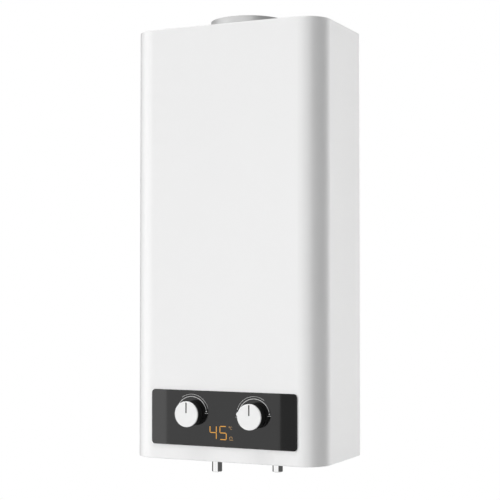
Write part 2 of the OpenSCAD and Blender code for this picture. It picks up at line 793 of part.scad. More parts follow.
// Copper box that holds the fins and stands on the burner, rounded to suit the coil's bends.
module chamber_shell() color("peru") difference() {
    translate([0, flue_y, chamber_bot_z]) linear_extrude(chamber_h) difference() {
        round_rect(chamber_w, chamber_d, chamber_r);
        round_rect(chamber_w - 2 * shell_t, chamber_d - 2 * shell_t, chamber_r - shell_t);
    }
    for (y = tube_y) translate([0, y, tube_z]) to_right()
        cylinder(h = 2 * chamber_w, r = tube_hole_r, center = true);
    for (s = [-1, 1]) translate([s * electrode_x, chamber_front_y, electrode_z]) to_front()
        cylinder(h = 4 * shell_t, r = ceramic_r + tube_gap, center = true);
}

module exchanger_fins() color("peru") for (k = [0 : fin_n - 1])
    translate([(k - (fin_n - 1) / 2) * fin_pitch, 0, 0]) to_right()
        linear_extrude(fin_t, center = true) difference() {
            translate([flue_y, tube_z]) square([chamber_d - 2 * shell_t, fin_h], center = true);
            for (y = tube_y) translate([y, tube_z]) circle(tube_hole_r);
        }

// Five passes through the fins, joined by bends outside the chamber.
module exchanger_tubes() color("chocolate") {
    for (y = tube_y) translate([0, y, tube_z]) to_right()
        linear_extrude(2 * tube_end_x, center = true) ring(tube_r, tube_r - tube_wall);
    for (k = [0 : tube_n - 2]) {
        s = k % 2 == 0 ? -1 : 1;
        translate([s * tube_end_x, (tube_y[k] + tube_y[k + 1]) / 2, tube_z]) rotate([0, 0, -90 * s])
            rotate_extrude(angle = 180) translate([tube_pitch / 2, 0]) ring(tube_r, tube_r - tube_wall);
    }
}

// Cold pipe from the water valve, wound around the chamber and up to the first pass.
module inlet_coil() color("chocolate") {
    side_x = chamber_half_w + coil_r + coil_gap;
    fore_y = chamber_front_y - coil_r - coil_gap;
    aft_y = chamber_rear_y + coil_r + coil_gap;
    turn_z = chamber_bot_z + coil_up;
    tube_path([
        [water_out_x, pipe_y, valve_top_z],
        [water_out_x, pipe_y, jog_z],
        [riser_x, pipe_y, jog_z],
        [riser_x, pipe_y, turn_z],
        [riser_x, fore_y, turn_z],
        [-side_x, fore_y, turn_z],
        [-side_x, aft_y, turn_z],
        [-side_x, aft_y, turn_z + coil_pitch],
        [side_x, aft_y, turn_z + coil_pitch],
        [side_x, fore_y, turn_z + coil_pitch],
        [-side_x, fore_y, turn_z + coil_pitch],
        [-side_x, fore_y, turn_z + 2 * coil_pitch],
        [-side_x, aft_y, turn_z + 2 * coil_pitch],
        [riser_x, aft_y, turn_z + 2 * coil_pitch],
        [riser_x, tube_y[0], turn_z + 2 * coil_pitch],
        [riser_x, tube_y[0], tube_z],
        [tube_end_x, tube_y[0], tube_z]
    ], bend_r, coil_r, coil_r - tube_wall);
}

module hot_pipe() color("chocolate") tube_path([
    [-tube_end_x, hot_y, tube_z],
    [-riser_x, hot_y, tube_z],
    [-riser_x, hot_y, hot_joint_z]
], bend_r, tube_r, tube_r - tube_wall);

module burner_frame() color("silver") difference() {
    translate([-chamber_half_w, chamber_front_y, frame_bot_z])
        cube([chamber_w, chamber_d, burner_h]);
    translate([shell_t - chamber_half_w, chamber_front_y + shell_t, frame_bot_z - over])
        cube([chamber_w - 2 * shell_t, bar_len, burner_h + 2 * over]);
    for (x = bar_x) translate([x, chamber_front_y, bar_z]) to_front()
        cylinder(h = 4 * shell_t, r = jet_hole_r, center = true);
}

// One burner bar: mixing tube, neck and slotted flame head.
module burner_bar() difference() {
    to_front() linear_extrude(bar_len, center = true) {
        translate([0, bar_z]) circle(bar_tube_r);
        translate([-bar_neck / 2, bar_z]) square([bar_neck, bar_top_z - bar_z]);
        translate([-bar_head_w / 2, bar_top_z - bar_head_h]) square([bar_head_w, bar_head_h]);
    }
    translate([0, bar_mouth_len - bar_len / 2, bar_z]) to_front()
        cylinder(h = bar_mouth_len + over, r = bar_mouth_r);
    for (k = [0 : port_n - 1])
        translate([-bar_head_w, (k - (port_n - 1) / 2) * port_pitch - port_w / 2, bar_top_z - port_d])
            cube([2 * bar_head_w, port_w, 2 * port_d]);
}

module burner_bars() color("lightsteelblue") for (x = bar_x) translate([x, flue_y, 0]) burner_bar();

// Gas rail in front of the burner, with a lug at each end.
module gas_manifold() color("lightgray") {
    translate([-manifold_half_w, manifold_rear_y - manifold_d, bar_z - manifold_h / 2])
        cube([2 * manifold_half_w, manifold_d, manifold_h]);
    for (s = [0, 1]) mirror([s, 0, 0])
        translate([manifold_half_w - lug_w, manifold_rear_y, bar_z - manifold_h / 4])
            cube([lug_w, manifold_gap, manifold_h / 2]);
}

module gas_jets() color("goldenrod") for (x = bar_x)
    translate([x, manifold_rear_y, bar_z]) mirror([0, 1, 0]) to_front() rotate_extrude()
        polygon([[jet_r / 4, 0], [jet_r, 0], [jet_r, jet_len / 2],
            [jet_r / 2, jet_len], [jet_r / 4, jet_len]]);

module manifold_feed() color("chocolate") {
    mid_y = manifold_rear_y - manifold_d / 2;
    tube_path([
        [feed_x, pipe_y, valve_top_z],
        [feed_x, pipe_y, jog_z],
        [feed_x, mid_y, jog_z],
        [feed_x, mid_y, bar_z - manifold_h / 2]
    ], bend_r, feed_r, feed_r - tube_wall);
}

// Left and right angle brackets that carry the chamber and the burner.
module side_brackets() color("gainsboro") for (s = [0, 1]) mirror([s, 0, 0]) {
    translate([chamber_half_w, chamber_front_y + bracket_in, frame_bot_z])
        cube([bracket_t, rear_y - chamber_front_y - bracket_in, burner_h + bracket_up]);
    translate([chamber_half_w, rear_y - bracket_t, frame_bot_z])
        cube([foot_w, bracket_t, burner_h + bracket_up]);
}

// Upright and front bosses of a valve, at the given place along its axis.
module valve_boss(x, up, r) translate([x, pipe_y, up > 0 ? knob_z : knob_z + up])
    cylinder(h = abs(up), r = r);
module front_boss(x, r, len) translate([x, pipe_y, knob_z]) to_front() cylinder(h = len, r = r);

// A round bar along the valves' common axis.
module axis_bar(x0, x1, r) translate([x0, pipe_y, knob_z]) to_right() cylinder(h = x1 - x0, r = r);

// Die-cast gas valve with its seat, and two arms that reach to the water valve.
module gas_valve_body() color("lightgray") difference() {
    union() {
        axis_bar(gas_x0, gas_x1, gas_r);
        valve_boss(-knob_x, -boss_down, inlet_boss_r);
        valve_boss(feed_x, boss_up, boss_r);
        front_boss(-knob_x, boss_r, boss_front);
        for (s = [-1, 1])
            translate([feed_x, pipe_y - arm_t / 2, knob_z + s * arm_off - arm_t / 2])
                cube([cover_x0 - feed_x, arm_t, arm_t]);
    }
    axis_bar(gas_x0 - over, seat_x, gas_bore_r);
    axis_bar(seat_x - over, outlet_x0 + over, seat_r);
    axis_bar(outlet_x0, outlet_x1, gas_bore_r);
    axis_bar(outlet_x0, gas_x1 + over, rod_r + run_fit);
    valve_boss(-knob_x, -boss_down - over, flow_r);
    valve_boss(feed_x, boss_up + over, min(flow_r, outlet_len / 2 - over));
    front_boss(-knob_x, spindle_r + run_fit, boss_front + over);
}

// Safety solenoid that closes the gas valve's left end.
module gas_solenoid() color("dimgray") {
    axis_bar(gas_x0 - solenoid_len, gas_x0, solenoid_r);
    axis_bar(gas_x0 - over, gas_x0 + spigot_len, gas_bore_r - tube_gap);
}

// Places of the screws around the diaphragm housing.
module screw_places(x) for (k = [0 : screw_n - 1])
    translate([x, pipe_y, knob_z]) rotate([360 / screw_n * (k + 0.5), 0, 0])
        translate([0, 0, screw_ring_r]) to_right() children();

// Brass water valve: lower half of the housing, throttle, inlet, outlet and drain.
module water_valve_body() color("goldenrod") difference() {
    union() {
        axis_bar(lower_half_x, lower_half_x + housing_t, housing_r);
        axis_bar(lower_half_x + housing_t - over, water_x1, water_r);
        valve_boss(knob_x, -boss_down, inlet_boss_r);
        valve_boss(water_out_x, boss_up, boss_r);
        valve_boss(drain_x, -boss_down, drain_r + knob_wall);
        front_boss(knob_x, boss_r, boss_front);
    }
    axis_bar(lower_half_x - over, lower_half_x + hollow_d, hollow_r);
    axis_bar(lower_half_x, water_x1 - knob_wall, water_bore_r);
    valve_boss(knob_x, -boss_down - over, flow_r);
    valve_boss(water_out_x, boss_up + over, coil_r - tube_wall);
    valve_boss(drain_x, -boss_down - over, drain_r + run_fit);
    front_boss(knob_x, spindle_r + run_fit, boss_front + over);
    screw_places(lower_half_x - over) cylinder(h = housing_t + 2 * over, r = screw_r + screw_gap);
}

module water_valve_cover() color("goldenrod") difference() {
    union() {
        axis_bar(cover_x0, membrane_x, housing_r);
        axis_bar(cover_x0 - guide_len, membrane_x - hollow_d, guide_r);
    }
    axis_bar(membrane_x - hollow_d, membrane_x + over, hollow_r);
    axis_bar(cover_x0 - guide_len - over, membrane_x, rod_r + run_fit);
    screw_places(cover_x0 - over) cylinder(h = housing_t + 2 * over, r = screw_r + screw_gap);
}

module diaphragm() color("darkslategray") difference() {
    axis_bar(membrane_x, lower_half_x, housing_r);
    screw_places(membrane_x - over) cylinder(h = membrane_t + 2 * over, r = screw_r + screw_gap);
}

// Push rod with its plate at the diaphragm and the gas disc behind the seat.
module valve_rod() color("silver") {
    plate_x = membrane_x - rod_gap - rod_plate_t;
    disc_x = seat_x - rod_gap - rod_disc_t;
    axis_bar(disc_x + rod_disc_t / 2, plate_x + rod_plate_t / 2, rod_r);
    axis_bar(plate_x, plate_x + rod_plate_t, rod_plate_r);
    axis_bar(disc_x, disc_x + rod_disc_t, rod_disc_r);
}

module valve_screws() color("silver") screw_places(cover_x0) {
    translate([0, 0, -screw_head_h]) cylinder(h = screw_head_h, r = screw_head_r);
    translate([0, 0, -screw_head_h / 2])
        cylinder(h = 2 * housing_t + membrane_t + screw_head_h / 2, r = screw_r);
}

module microswitch() color("dimgray")
    translate([cover_x0 - switch_w - over, pipe_y - arm_t / 2, knob_z + arm_off + arm_t / 2])
        cube([switch_w, arm_t, switch_h]);

// Shelf under the valves' inlet flanges, folded down against the back plate.
module valve_bracket() color("gainsboro") difference() {
    union() {
        translate([-knob_x - grommet_r - foot_w / 2, pipe_y - inlet_boss_r, shelf_z - bracket_t])
            cube([knob_pitch + 2 * grommet_r, inlet_boss_r + pipe_from_wall + rear_y, bracket_t]);
        translate([-knob_x - grommet_r - foot_w / 2, rear_y - bracket_t, shelf_z - bracket_t - foot_w])
            cube([knob_pitch + 2 * grommet_r, bracket_t, foot_w + bracket_t]);
    }
    for (s = [-1, 1]) translate([s * knob_x, pipe_y, shelf_z - bracket_t - over])
        cylinder(h = bracket_t + 2 * over, r = run_r + trim_gap);
}

// A pipe end from its upper flange, through the cover's bottom, to its open end.
module pipe_tail(x, y, top, flange_r, drop) {
    step_z = bot_z - grommet_lip - grommet_gap;
    end_z = bot_z - drop;
    translate([x, y, 0]) rotate_extrude() polygon([[tail_in_r, top], [flange_r, top],
        [flange_r, top - tail_flange_t], [run_r, top - tail_flange_t], [run_r, step_z],
        [tail_r, step_z], [tail_r, end_z + tail_chamfer], [tail_r - tail_chamfer, end_z],
        [tail_in_r, end_z]]);
}

module gas_tail() color("silver") pipe_tail(-knob_x, pipe_y, valve_bot_z, inlet_boss_r, gas_drop);
module cold_tail() color("silver") pipe_tail(knob_x, pipe_y, valve_bot_z, inlet_boss_r, cold_drop);
module hot_tail() color("silver") pipe_tail(-riser_x, hot_y, hot_joint_z, inlet_boss_r, hot_drop);

module pipe_grommets() color("dimgray")
    for (p = [[-knob_x, pipe_y], [knob_x, pipe_y], [-riser_x, hot_y]])
        translate([p.x, p.y, 0]) rotate_extrude() {
            ri = run_r + grommet_gap;
            rg = grommet_hole_r - grommet_gap;
            polygon([[ri, bot_z - grommet_lip], [grommet_r, bot_z - grommet_lip], [grommet_r, bot_z],
                [rg, bot_z], [rg, in_bot_z], [grommet_r, in_bot_z],
                [grommet_r, in_bot_z + grommet_lip], [ri, in_bot_z + grommet_lip]]);
        }

// Drain plug: stem in the water valve and a bar grip under the cover.
module drain_plug() color("dimgray") translate([drain_x, pipe_y, 0]) {
    head_z = bot_z - drain_gap - drain_head_h;
    stem_top = knob_z - water_bore_r;
    translate([0, 0, head_z + drain_head_h / 2])
        cylinder(h = stem_top - head_z - drain_head_h / 2, r = drain_r);
    translate([0, 0, head_z + drain_head_h / 2]) cylinder(h = drain_head_h / 2, r = drain_head_r);
    translate([-drain_head_r + over, -drain_r / 2, head_z])
        cube([2 * (drain_head_r - over), drain_r, drain_head_h - over]);
}

module igniter_box() color("ivory")
    translate([igniter_x, rear_y - igniter_d, igniter_top_z - igniter_h / 2])
        mirror([0, 1, 0]) to_front() linear_extrude(igniter_d)
            round_rect(igniter_w, igniter_h, igniter_r);

module ignition_lead() color("firebrick") {
    level_z = (igniter_top_z + frame_bot_z) / 2;
    run_y = ceramic_front_y - lead_in;
    tube_path([
        [igniter_x, -lead_from_wall, igniter_top_z],
        [igniter_x, -lead_from_wall, level_z],
        [lead_x, -lead_from_wall, level_z],
        [lead_x, -lead_from_wall, electrode_z],
        [lead_x, run_y, electrode_z],
        [electrode_x, run_y, electrode_z],
        [electrode_x, ceramic_front_y, electrode_z]
    ], lead_bend, lead_r, rod_tip_r);
}

module electrode_places() for (s = [-1, 1])
    translate([s * electrode_x, chamber_front_y, electrode_z]) to_front() children();

module electrode_ceramics() color("linen") electrode_places() rotate_extrude()
    polygon([[rod_tip_r + run_fit, -ceramic_in], [ceramic_r, -ceramic_in], [ceramic_r, 0],
        [ceramic_flange_r, 0], [ceramic_flange_r, ceramic_flange_t], [ceramic_r, ceramic_flange_t],
        [ceramic_r, ceramic_out], [rod_tip_r + run_fit, ceramic_out]]);

module electrode_rods() color("gray") electrode_places()
    translate([0, 0, -ceramic_in - rod_tip_len])
        cylinder(h = rod_tip_len + ceramic_in + ceramic_out, r = rod_tip_r);

module overheat_switch() color("gray")
    translate([chamber_half_w - overheat_x, chamber_front_y, chamber_bot_z + overheat_up]) to_front() {
        cylinder(h = overheat_h / 4, r = overheat_r);
        cylinder(h = overheat_h, r = overheat_r * 3 / 4);
    }

module outlet_sensor() color("dimgray") translate([-riser_x, hot_y, hot_joint_z + sensor_up])
    difference() {
        union() {
            cylinder(h = sensor_h, r = tube_r + sensor_wall);
            translate([0, 0, sensor_h / 2]) to_front()
                cylinder(h = tube_r + sensor_len, r = sensor_r);
        }
        translate([0, 0, -over]) cylinder(h = sensor_h + 2 * over, r = tube_r + tube_gap);
    }

// Dark glass in front of the cover's window.
module control_panel() color("black") translate([0, front_y, 0]) to_front()
    linear_extrude(panel_t) difference() {
        translate([0, panel_z]) round_rect(panel_w, panel_h, panel_r);
        for (s = [-1, 1]) translate([s * knob_x, knob_z]) circle(shaft_hole_r);
    }

// Moulded carrier behind the glass, with posts for the display board.
module panel_carrier() color("dimgray") translate([0, front_y, 0]) mirror([0, 1, 0]) to_front() {
    linear_extrude(carrier_t) difference() {
        translate([0, panel_z])
            square([window_w - 2 * carrier_gap, window_h - 2 * carrier_gap], center = true);
        for (s = [-1, 1]) translate([s * knob_x, knob_z]) circle(shaft_hole_r);
        translate([led_x, led_z])
            square([led_w + 2 * carrier_gap, led_h + 2 * carrier_gap], center = true);
    }
    for (x = [-1, 1], z = [-1, 1])
        translate([x * (board_w / 2 - post_r), panel_z + z * (board_h / 2 - post_r), carrier_t / 2])
            cylinder(h = post_h + carrier_t / 2, r = post_r);
}

module display_board() color("darkgreen") translate([-board_w / 2, board_y, panel_z - board_h / 2])
    cube([board_w, board_t, board_h]);

module display_module() color("black") translate([led_x - led_w / 2, front_y, led_z - led_h / 2])
    cube([led_w, board_y - front_y, led_h]);

// Black skirt of a knob, hollow from behind, with the hub that holds its spindle.
module knob_skirt(x) translate([x, glass_y, knob_z]) to_front() difference() {
    translate([0, 0, knob_gap]) cylinder(h = knob_h - cap_t - knob_gap, r = skirt_r);
    translate([0, 0, knob_gap]) linear_extrude(knob_h - cap_t - knob_gap - knob_wall)
        ring(skirt_r - knob_wall, spindle_r + hub_wall);
    cylinder(h = knob_h - cap_t - knob_wall, r = spindle_r + run_fit);
}

// White face disc of a knob with the groove for its pointer.
module knob_face(x) translate([x, glass_y, knob_z]) to_front() difference() {
    translate([0, 0, knob_h - cap_t]) rotate_extrude($fn = 128)
        polygon([[0, 0], [knob_r, 0], [knob_r, cap_t - cap_chamfer],
            [knob_r - cap_chamfer, cap_t], [0, cap_t]]);
    translate([-pointer_w / 2, pointer_from, knob_h - pointer_t])
        cube([pointer_w, pointer_to - pointer_from, pointer_t + over]);
}

module knob_pointer(x) translate([x, glass_y, knob_z]) to_front()
    translate([-pointer_w / 2, pointer_from, knob_h - pointer_t])
        cube([pointer_w, pointer_to - pointer_from, pointer_t]);

// Spindle from the knob's hub through the panel into a valve.
module spindle(x, inner_r) {
    tip_y = glass_y - knob_h + cap_t + knob_wall;
    translate([x, pipe_y - inner_r + over, knob_z]) to_front()
        cylinder(h = pipe_y - inner_r + over - tip_y, r = spindle_r);
}

module gas_knob() color("black") knob_skirt(-knob_x);
module gas_knob_face() color("white") knob_face(-knob_x);
module gas_pointer() color("dimgray") knob_pointer(-knob_x);
module gas_spindle() color("goldenrod") spindle(-knob_x, gas_bore_r);
module water_knob() color("black") knob_skirt(knob_x);
module water_knob_face() color("white") knob_face(knob_x);
module water_pointer() color("dimgray") knob_pointer(knob_x);
module water_spindle() color("goldenrod") spindle(knob_x, water_bore_r);

// Battery box on the cover's bottom, with two hinge pins for its lid.
module battery_box() color("dimgray") {
    difference() {
        translate([box_x - box_in_w / 2 - box_wall, box_y - box_in_d / 2 - box_wall, in_bot_z])
            cube([box_in_w + 2 * box_wall, box_in_d + 2 * box_wall, box_top_z + box_wall - in_bot_z]);
        translate([box_x - box_in_w / 2, box_y - box_in_d / 2, in_bot_z - over])
            cube([box_in_w, box_in_d, box_top_z - in_bot_z + over]);
    }
    for (s = [0, 1]) translate([box_x, hinge_y, hinge_z]) mirror([s, 0, 0])
        translate([box_in_w / 2 - lid_pin_len, 0, 0]) to_right()
            cylinder(h = lid_pin_len + box_wall / 2, r = lid_pin_r);
}

// Lid with a round rear edge that turns on the box's pins.
module battery_lid() color("dimgray") {
    lid_w = box_in_w - 2 * lid_gap;
    front_edge = box_y - box_in_d / 2 + lid_gap;
    difference() {
        union() {
            translate([box_x - lid_w / 2, front_edge, bot_z]) cube([lid_w, hinge_y - front_edge, lid_t]);
            translate([box_x, hinge_y, hinge_z]) to_right() cylinder(h = lid_w, r = hinge_r, center = true);
        }
        for (s = [0, 1]) translate([box_x, hinge_y, hinge_z]) mirror([s, 0, 0])
            translate([lid_w / 2 - lid_pin_len, 0, 0]) to_right()
                cylinder(h = lid_pin_len + over, r = lid_pin_r + run_fit);
        translate([box_x, front_edge, bot_z - over])
            cylinder(h = lid_t / 2 + over, r = lid_notch_r);
    }
}

module battery_cells() color("darkgoldenrod") for (s = [-1, 1])
    translate([box_x, box_y + s * (cell_d + cell_gap) / 2, cell_z]) {
        cylinder(h = cell_h - cell_nub_h, r = cell_d / 2);
        cylinder(h = cell_h, r = cell_nub_r);
    }

module battery_contacts() color("silver") for (s = [-1, 1])
    translate([box_x, box_y + s * (cell_d + cell_gap) / 2, contact_z])
        cylinder(h = contact_t, r = contact_r);

front_cover();
back_plate();
flue_trim();
flue_collar();
draft_hood();
chamber_shell();
exchanger_fins();
exchanger_tubes();
inlet_coil();
hot_pipe();
burner_frame();
burner_bars();
gas_manifold();
gas_jets();
manifold_feed();
side_brackets();
gas_valve_body();
gas_solenoid();
water_valve_body();
water_valve_cover();
diaphragm();
valve_rod();
valve_screws();
microswitch();
valve_bracket();
gas_tail();
cold_tail();
hot_tail();
pipe_grommets();
drain_plug();
igniter_box();
ignition_lead();
electrode_ceramics();
electrode_rods();
overheat_switch();
outlet_sensor();
control_panel();
panel_carrier();
display_board();
display_module();
gas_knob();
gas_knob_face();
gas_pointer();
gas_spindle();
water_knob();
water_knob_face();
water_pointer();
water_spindle();
battery_box();
battery_lid();
battery_cells();
battery_contacts();
cover_screws();
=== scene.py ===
# %% [markdown]
# # A wall-hung gas water heater
# The object is a white sheet-steel box that hangs on a wall and heats water as it flows.
# Its cover has round upright corners, a dark glass strip with two knobs and a lit temperature,
# a round flue collar on top and short chromed pipe ends below.
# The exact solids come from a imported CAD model, which this script loads as a fixed frame.
# Everything below adds light, finishes and the fine pieces that a solid model leaves out.

# %% Load the frame and keep its box
import math
import bmesh
import bpy
from mathutils import Matrix, Vector


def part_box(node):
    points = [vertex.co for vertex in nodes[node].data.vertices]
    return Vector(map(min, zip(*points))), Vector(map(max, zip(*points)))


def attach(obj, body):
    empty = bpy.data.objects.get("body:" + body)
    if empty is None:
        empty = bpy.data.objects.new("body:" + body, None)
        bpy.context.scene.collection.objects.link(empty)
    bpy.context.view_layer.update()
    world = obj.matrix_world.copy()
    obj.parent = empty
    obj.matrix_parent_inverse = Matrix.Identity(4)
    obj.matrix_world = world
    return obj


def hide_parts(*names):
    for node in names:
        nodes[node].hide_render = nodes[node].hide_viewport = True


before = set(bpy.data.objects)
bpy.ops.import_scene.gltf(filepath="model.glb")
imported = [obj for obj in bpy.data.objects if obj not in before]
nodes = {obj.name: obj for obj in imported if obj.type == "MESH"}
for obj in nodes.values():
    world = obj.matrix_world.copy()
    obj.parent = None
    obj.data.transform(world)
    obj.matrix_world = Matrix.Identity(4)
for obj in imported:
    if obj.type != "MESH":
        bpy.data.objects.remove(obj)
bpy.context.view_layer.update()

MM = 0.001

# %% [markdown]
# ## Camera
# The photograph was taken with a long lens from the right, a little below the middle of the box,
# looking up very slightly. A long lens keeps the upright edges almost parallel, as in the picture.
# The focal length is in pixels, because that is how a camera is fitted to measured picture points.

# %% Place the camera
PICTURE_SIZE = 500
FOCAL_PIXELS = 1277.7
SENSOR_WIDTH = 36
CAMERA_PLACE = (0.7822, -1.7408, -0.0643)
TURN, TILT = 24.976, 1.704

lens = bpy.data.cameras.new("photo_camera")
lens.sensor_width = SENSOR_WIDTH
lens.lens = FOCAL_PIXELS / PICTURE_SIZE * SENSOR_WIDTH
camera = bpy.data.objects.new("photo_camera", lens)
camera.location = CAMERA_PLACE
camera.rotation_euler = (math.radians(90 + TILT), 0, math.radians(TURN))
scene = bpy.context.scene
scene.collection.objects.link(camera)
scene.camera = camera
scene.view_settings.view_transform = "Standard"
print("lens", round(lens.lens, 2), "mm, tilted up", TILT, "degrees")

# %% [markdown]
# ## Light
# A product studio wraps the object in white and keeps one side dark, so that chrome and round corners
# get a clear edge. Three soft suns do the lighting: one from the front left, one from high above the front,
# and one from behind on the right. The round right corner turns away from the first and the last,
# which gives it its grey gradient, and the high one draws a soft shadow under the glass strip.
# Suns light everything evenly, at any distance, so the long white front stays one even tone.

# %% Make the soft suns
def add_sun(name, azimuth, height, level, softness):
    """A soft sun. Azimuth 0 shines onto the front and 90 onto the right side, in degrees."""
    lamp = bpy.data.lights.new(name, "SUN")
    lamp.energy = level * math.pi
    lamp.angle = math.radians(softness)
    sun = bpy.data.objects.new(name, lamp)
    turn, lift = math.radians(azimuth), math.radians(height)
    flat = math.cos(lift)
    towards = Vector((math.sin(turn) * flat, -math.cos(turn) * flat, math.sin(lift)))
    sun.rotation_euler = towards.to_track_quat("Z", "Y").to_euler()
    sun.visible_glossy = False
    scene.collection.objects.link(sun)


add_sun("key_sun", azimuth=-49, height=5, level=0.58, softness=24)
add_sun("high_sun", azimuth=-35, height=72, level=0.59, softness=34)
add_sun("rim_sun", azimuth=158, height=4, level=1.44, softness=24)

# %% [markdown]
# The world is white to the eye and to anything shiny, but lights dull surfaces only gently.
# Light Path tells the two apart. A shiny surface also sees dark stretches of the room,
# all along the right and far to the left, which draw the dark bands down each chromed pipe.
# One stretch on the left dims dull surfaces too, which keeps the left corner from glaring.
# Each stretch is written as the azimuths of its ends, its tone, and who sees it.

# %% Build the world
AMBIENT = 0.43
SHINY, ALL = "Is Glossy Ray", "any but the camera"
DARK_STRETCHES = [(40, 180, 0.10, SHINY), (-180, -155, 0.02, SHINY), (-155, -80, 0.05, ALL)]

world = bpy.data.worlds.new("studio")
scene.world = world
world.use_nodes = True
tree = world.node_tree
tree.nodes.clear()


def sky_math(operation, first, second):
    """A sum in the world's tree, of numbers or of other nodes' outputs."""
    node = tree.nodes.new("ShaderNodeMath")
    node.operation = operation
    for socket, value in zip(node.inputs, (first, second)):
        if isinstance(value, bpy.types.NodeSocket):
            tree.links.new(value, socket)
        else:
            socket.default_value = value
    return node.outputs[0]


direction = tree.nodes.new("ShaderNodeSeparateXYZ")
tree.links.new(tree.nodes.new("ShaderNodeTexCoord").outputs["Generated"], direction.inputs[0])
azimuth = sky_math("ARCTAN2", direction.outputs["X"], sky_math("MULTIPLY", direction.outputs["Y"], -1))
path = tree.nodes.new("ShaderNodeLightPath")
seers = {SHINY: path.outputs[SHINY], ALL: sky_math("SUBTRACT", 1, path.outputs["Is Camera Ray"])}
dimming = 0
for begin, end, tone, seen_by in DARK_STRETCHES:
    past_begin = sky_math("GREATER_THAN", azimuth, math.radians(begin))
    before_end = sky_math("LESS_THAN", azimuth, math.radians(end))
    inside = sky_math("MULTIPLY", past_begin, before_end)
    darkness = sky_math("MULTIPLY", inside, 1 - tone)
    dimming = sky_math("ADD", dimming, sky_math("MULTIPLY", darkness, seers[seen_by]))
shiny = sky_math("MAXIMUM", path.outputs[SHINY], path.outputs["Is Transmission Ray"])
seen = sky_math("MAXIMUM", path.outputs["Is Camera Ray"], shiny)
level = sky_math("ADD", sky_math("MULTIPLY", seen, 1 - AMBIENT), AMBIENT)
background = tree.nodes.new("ShaderNodeBackground")
background.inputs["Color"].default_value = (1, 1, 1, 1)
strength = sky_math("MULTIPLY", level, sky_math("SUBTRACT", 1, dimming))
tree.links.new(strength, background.inputs["Strength"])
tree.links.new(background.outputs[0], tree.nodes.new("ShaderNodeOutputWorld").inputs["Surface"])
print("world: ambient", AMBIENT, "with", len(DARK_STRETCHES), "dark stretches")

# %% [markdown]
# The heater hangs at chest height, so the floor lies well below it. It is a pale disc that keeps the shadow.
# To the camera it glows a little, just enough for its lit part to reach the white of the room behind.
# Its underside lets the eye through, so that the heater can also be looked at from below.

# %% Lay the floor
FLOOR_Z = -1.25
FLOOR_RADIUS = 3.2
FLOOR_SIDES = 96
FLOOR_TONE = 0.62
FLOOR_GLOW = 0.33


def mesh_object(name, mesh):
    obj = bpy.data.objects.new(name, mesh)
    scene.collection.objects.link(obj)
    return obj


def take_bmesh(name, bm):
    """Turns a bmesh into an object and frees it."""
    mesh = bpy.data.meshes.new(name)
    bm.to_mesh(mesh)
    bm.free()
    return mesh_object(name, mesh)


def stage_paint(name, tone):
    """A plain studio paint that can glow white, and its shader."""
    paint = bpy.data.materials.new(name)
    paint.use_nodes = True
    shader = paint.node_tree.nodes["Principled BSDF"]
    shader.inputs["Base Color"].default_value = (tone, tone, tone, 1)
    shader.inputs["Emission Color"].default_value = (1, 1, 1, 1)
    return paint, shader


bm = bmesh.new()
bmesh.ops.create_circle(bm, cap_ends=True, segments=FLOOR_SIDES, radius=FLOOR_RADIUS,
                        matrix=Matrix.Translation((0, 0, FLOOR_Z)))
floor = take_bmesh("floor", bm)
floor_paint, floor_shader = stage_paint("floor_paint", FLOOR_TONE)
floor_tree = floor_paint.node_tree
floor_shader.inputs["Roughness"].default_value = 0.9
floor_shader.inputs["Specular IOR Level"].default_value = 0.1
glow = floor_tree.nodes.new("ShaderNodeMath")
glow.operation = "MULTIPLY"
glow.inputs[1].default_value = FLOOR_GLOW
camera_ray = floor_tree.nodes.new("ShaderNodeLightPath").outputs["Is Camera Ray"]
floor_tree.links.new(camera_ray, glow.inputs[0])
floor_tree.links.new(glow.outputs[0], floor_shader.inputs["Emission Strength"])
underside = floor_tree.nodes.new("ShaderNodeMixShader")
backfacing = floor_tree.nodes.new("ShaderNodeNewGeometry").outputs["Backfacing"]
clear = floor_tree.nodes.new("ShaderNodeBsdfTransparent").outputs[0]
for source, socket in zip((backfacing, floor_shader.outputs[0], clear), underside.inputs):
    floor_tree.links.new(source, socket)
floor_tree.links.new(underside.outputs[0], floor_tree.nodes["Material Output"].inputs["Surface"])
floor.data.materials.append(floor_paint)

# %% [markdown]
# ## Reflector cards
# The glass strip shows three tones with straight upright borders: they are cards in the studio, mirrored.
# A bright card stands to the left of the strip's mirror view and a grey one to the right.
# They reach down to the floor, so that other views see straight borders in the glass too.
# Only shiny surfaces see the cards, so they change nothing else.

# %% Stand the two cards in the glass's mirror view
CARD_Y = -3.0
CARD_SPARE = 0.08
glass_low, glass_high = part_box("control_panel")


def mirrored(x, z):
    """Where the camera, mirrored in the glass at x and z, meets the plane of the cards."""
    eye = Vector((camera.location.x, 2 * glass_low.y - camera.location.y, camera.location.z))
    point = Vector((x, glass_low.y, z))
    return eye + (point - eye) * ((CARD_Y - eye.y) / (point.y - eye.y))


def add_card(name, glass_left, glass_right, brightness):
    """A card whose mirror image spans the glass between two places, in metres."""
    left, right = mirrored(glass_left, glass_high.z).x, mirrored(glass_right, glass_high.z).x
    top = mirrored(glass_right, glass_high.z).z + CARD_SPARE
    bm = bmesh.new()
    corners = [(left, FLOOR_Z), (right, FLOOR_Z), (right, top), (left, top)]
    bm.faces.new([bm.verts.new((x, CARD_Y, z)) for x, z in corners])
    card = take_bmesh(name, bm)
    paint, shader = stage_paint(name, 0)
    shader.inputs["Emission Strength"].default_value = brightness
    card.data.materials.append(paint)
    card.visible_camera = card.visible_diffuse = card.visible_shadow = card.visible_transmission = False


add_card("bright_card", glass_left=-0.125, glass_right=-0.088, brightness=1.62)
add_card("grey_card", glass_left=0.087, glass_right=0.125, brightness=0.36)
print("cards stand", round(camera.location.y - CARD_Y, 2), "m behind the camera")

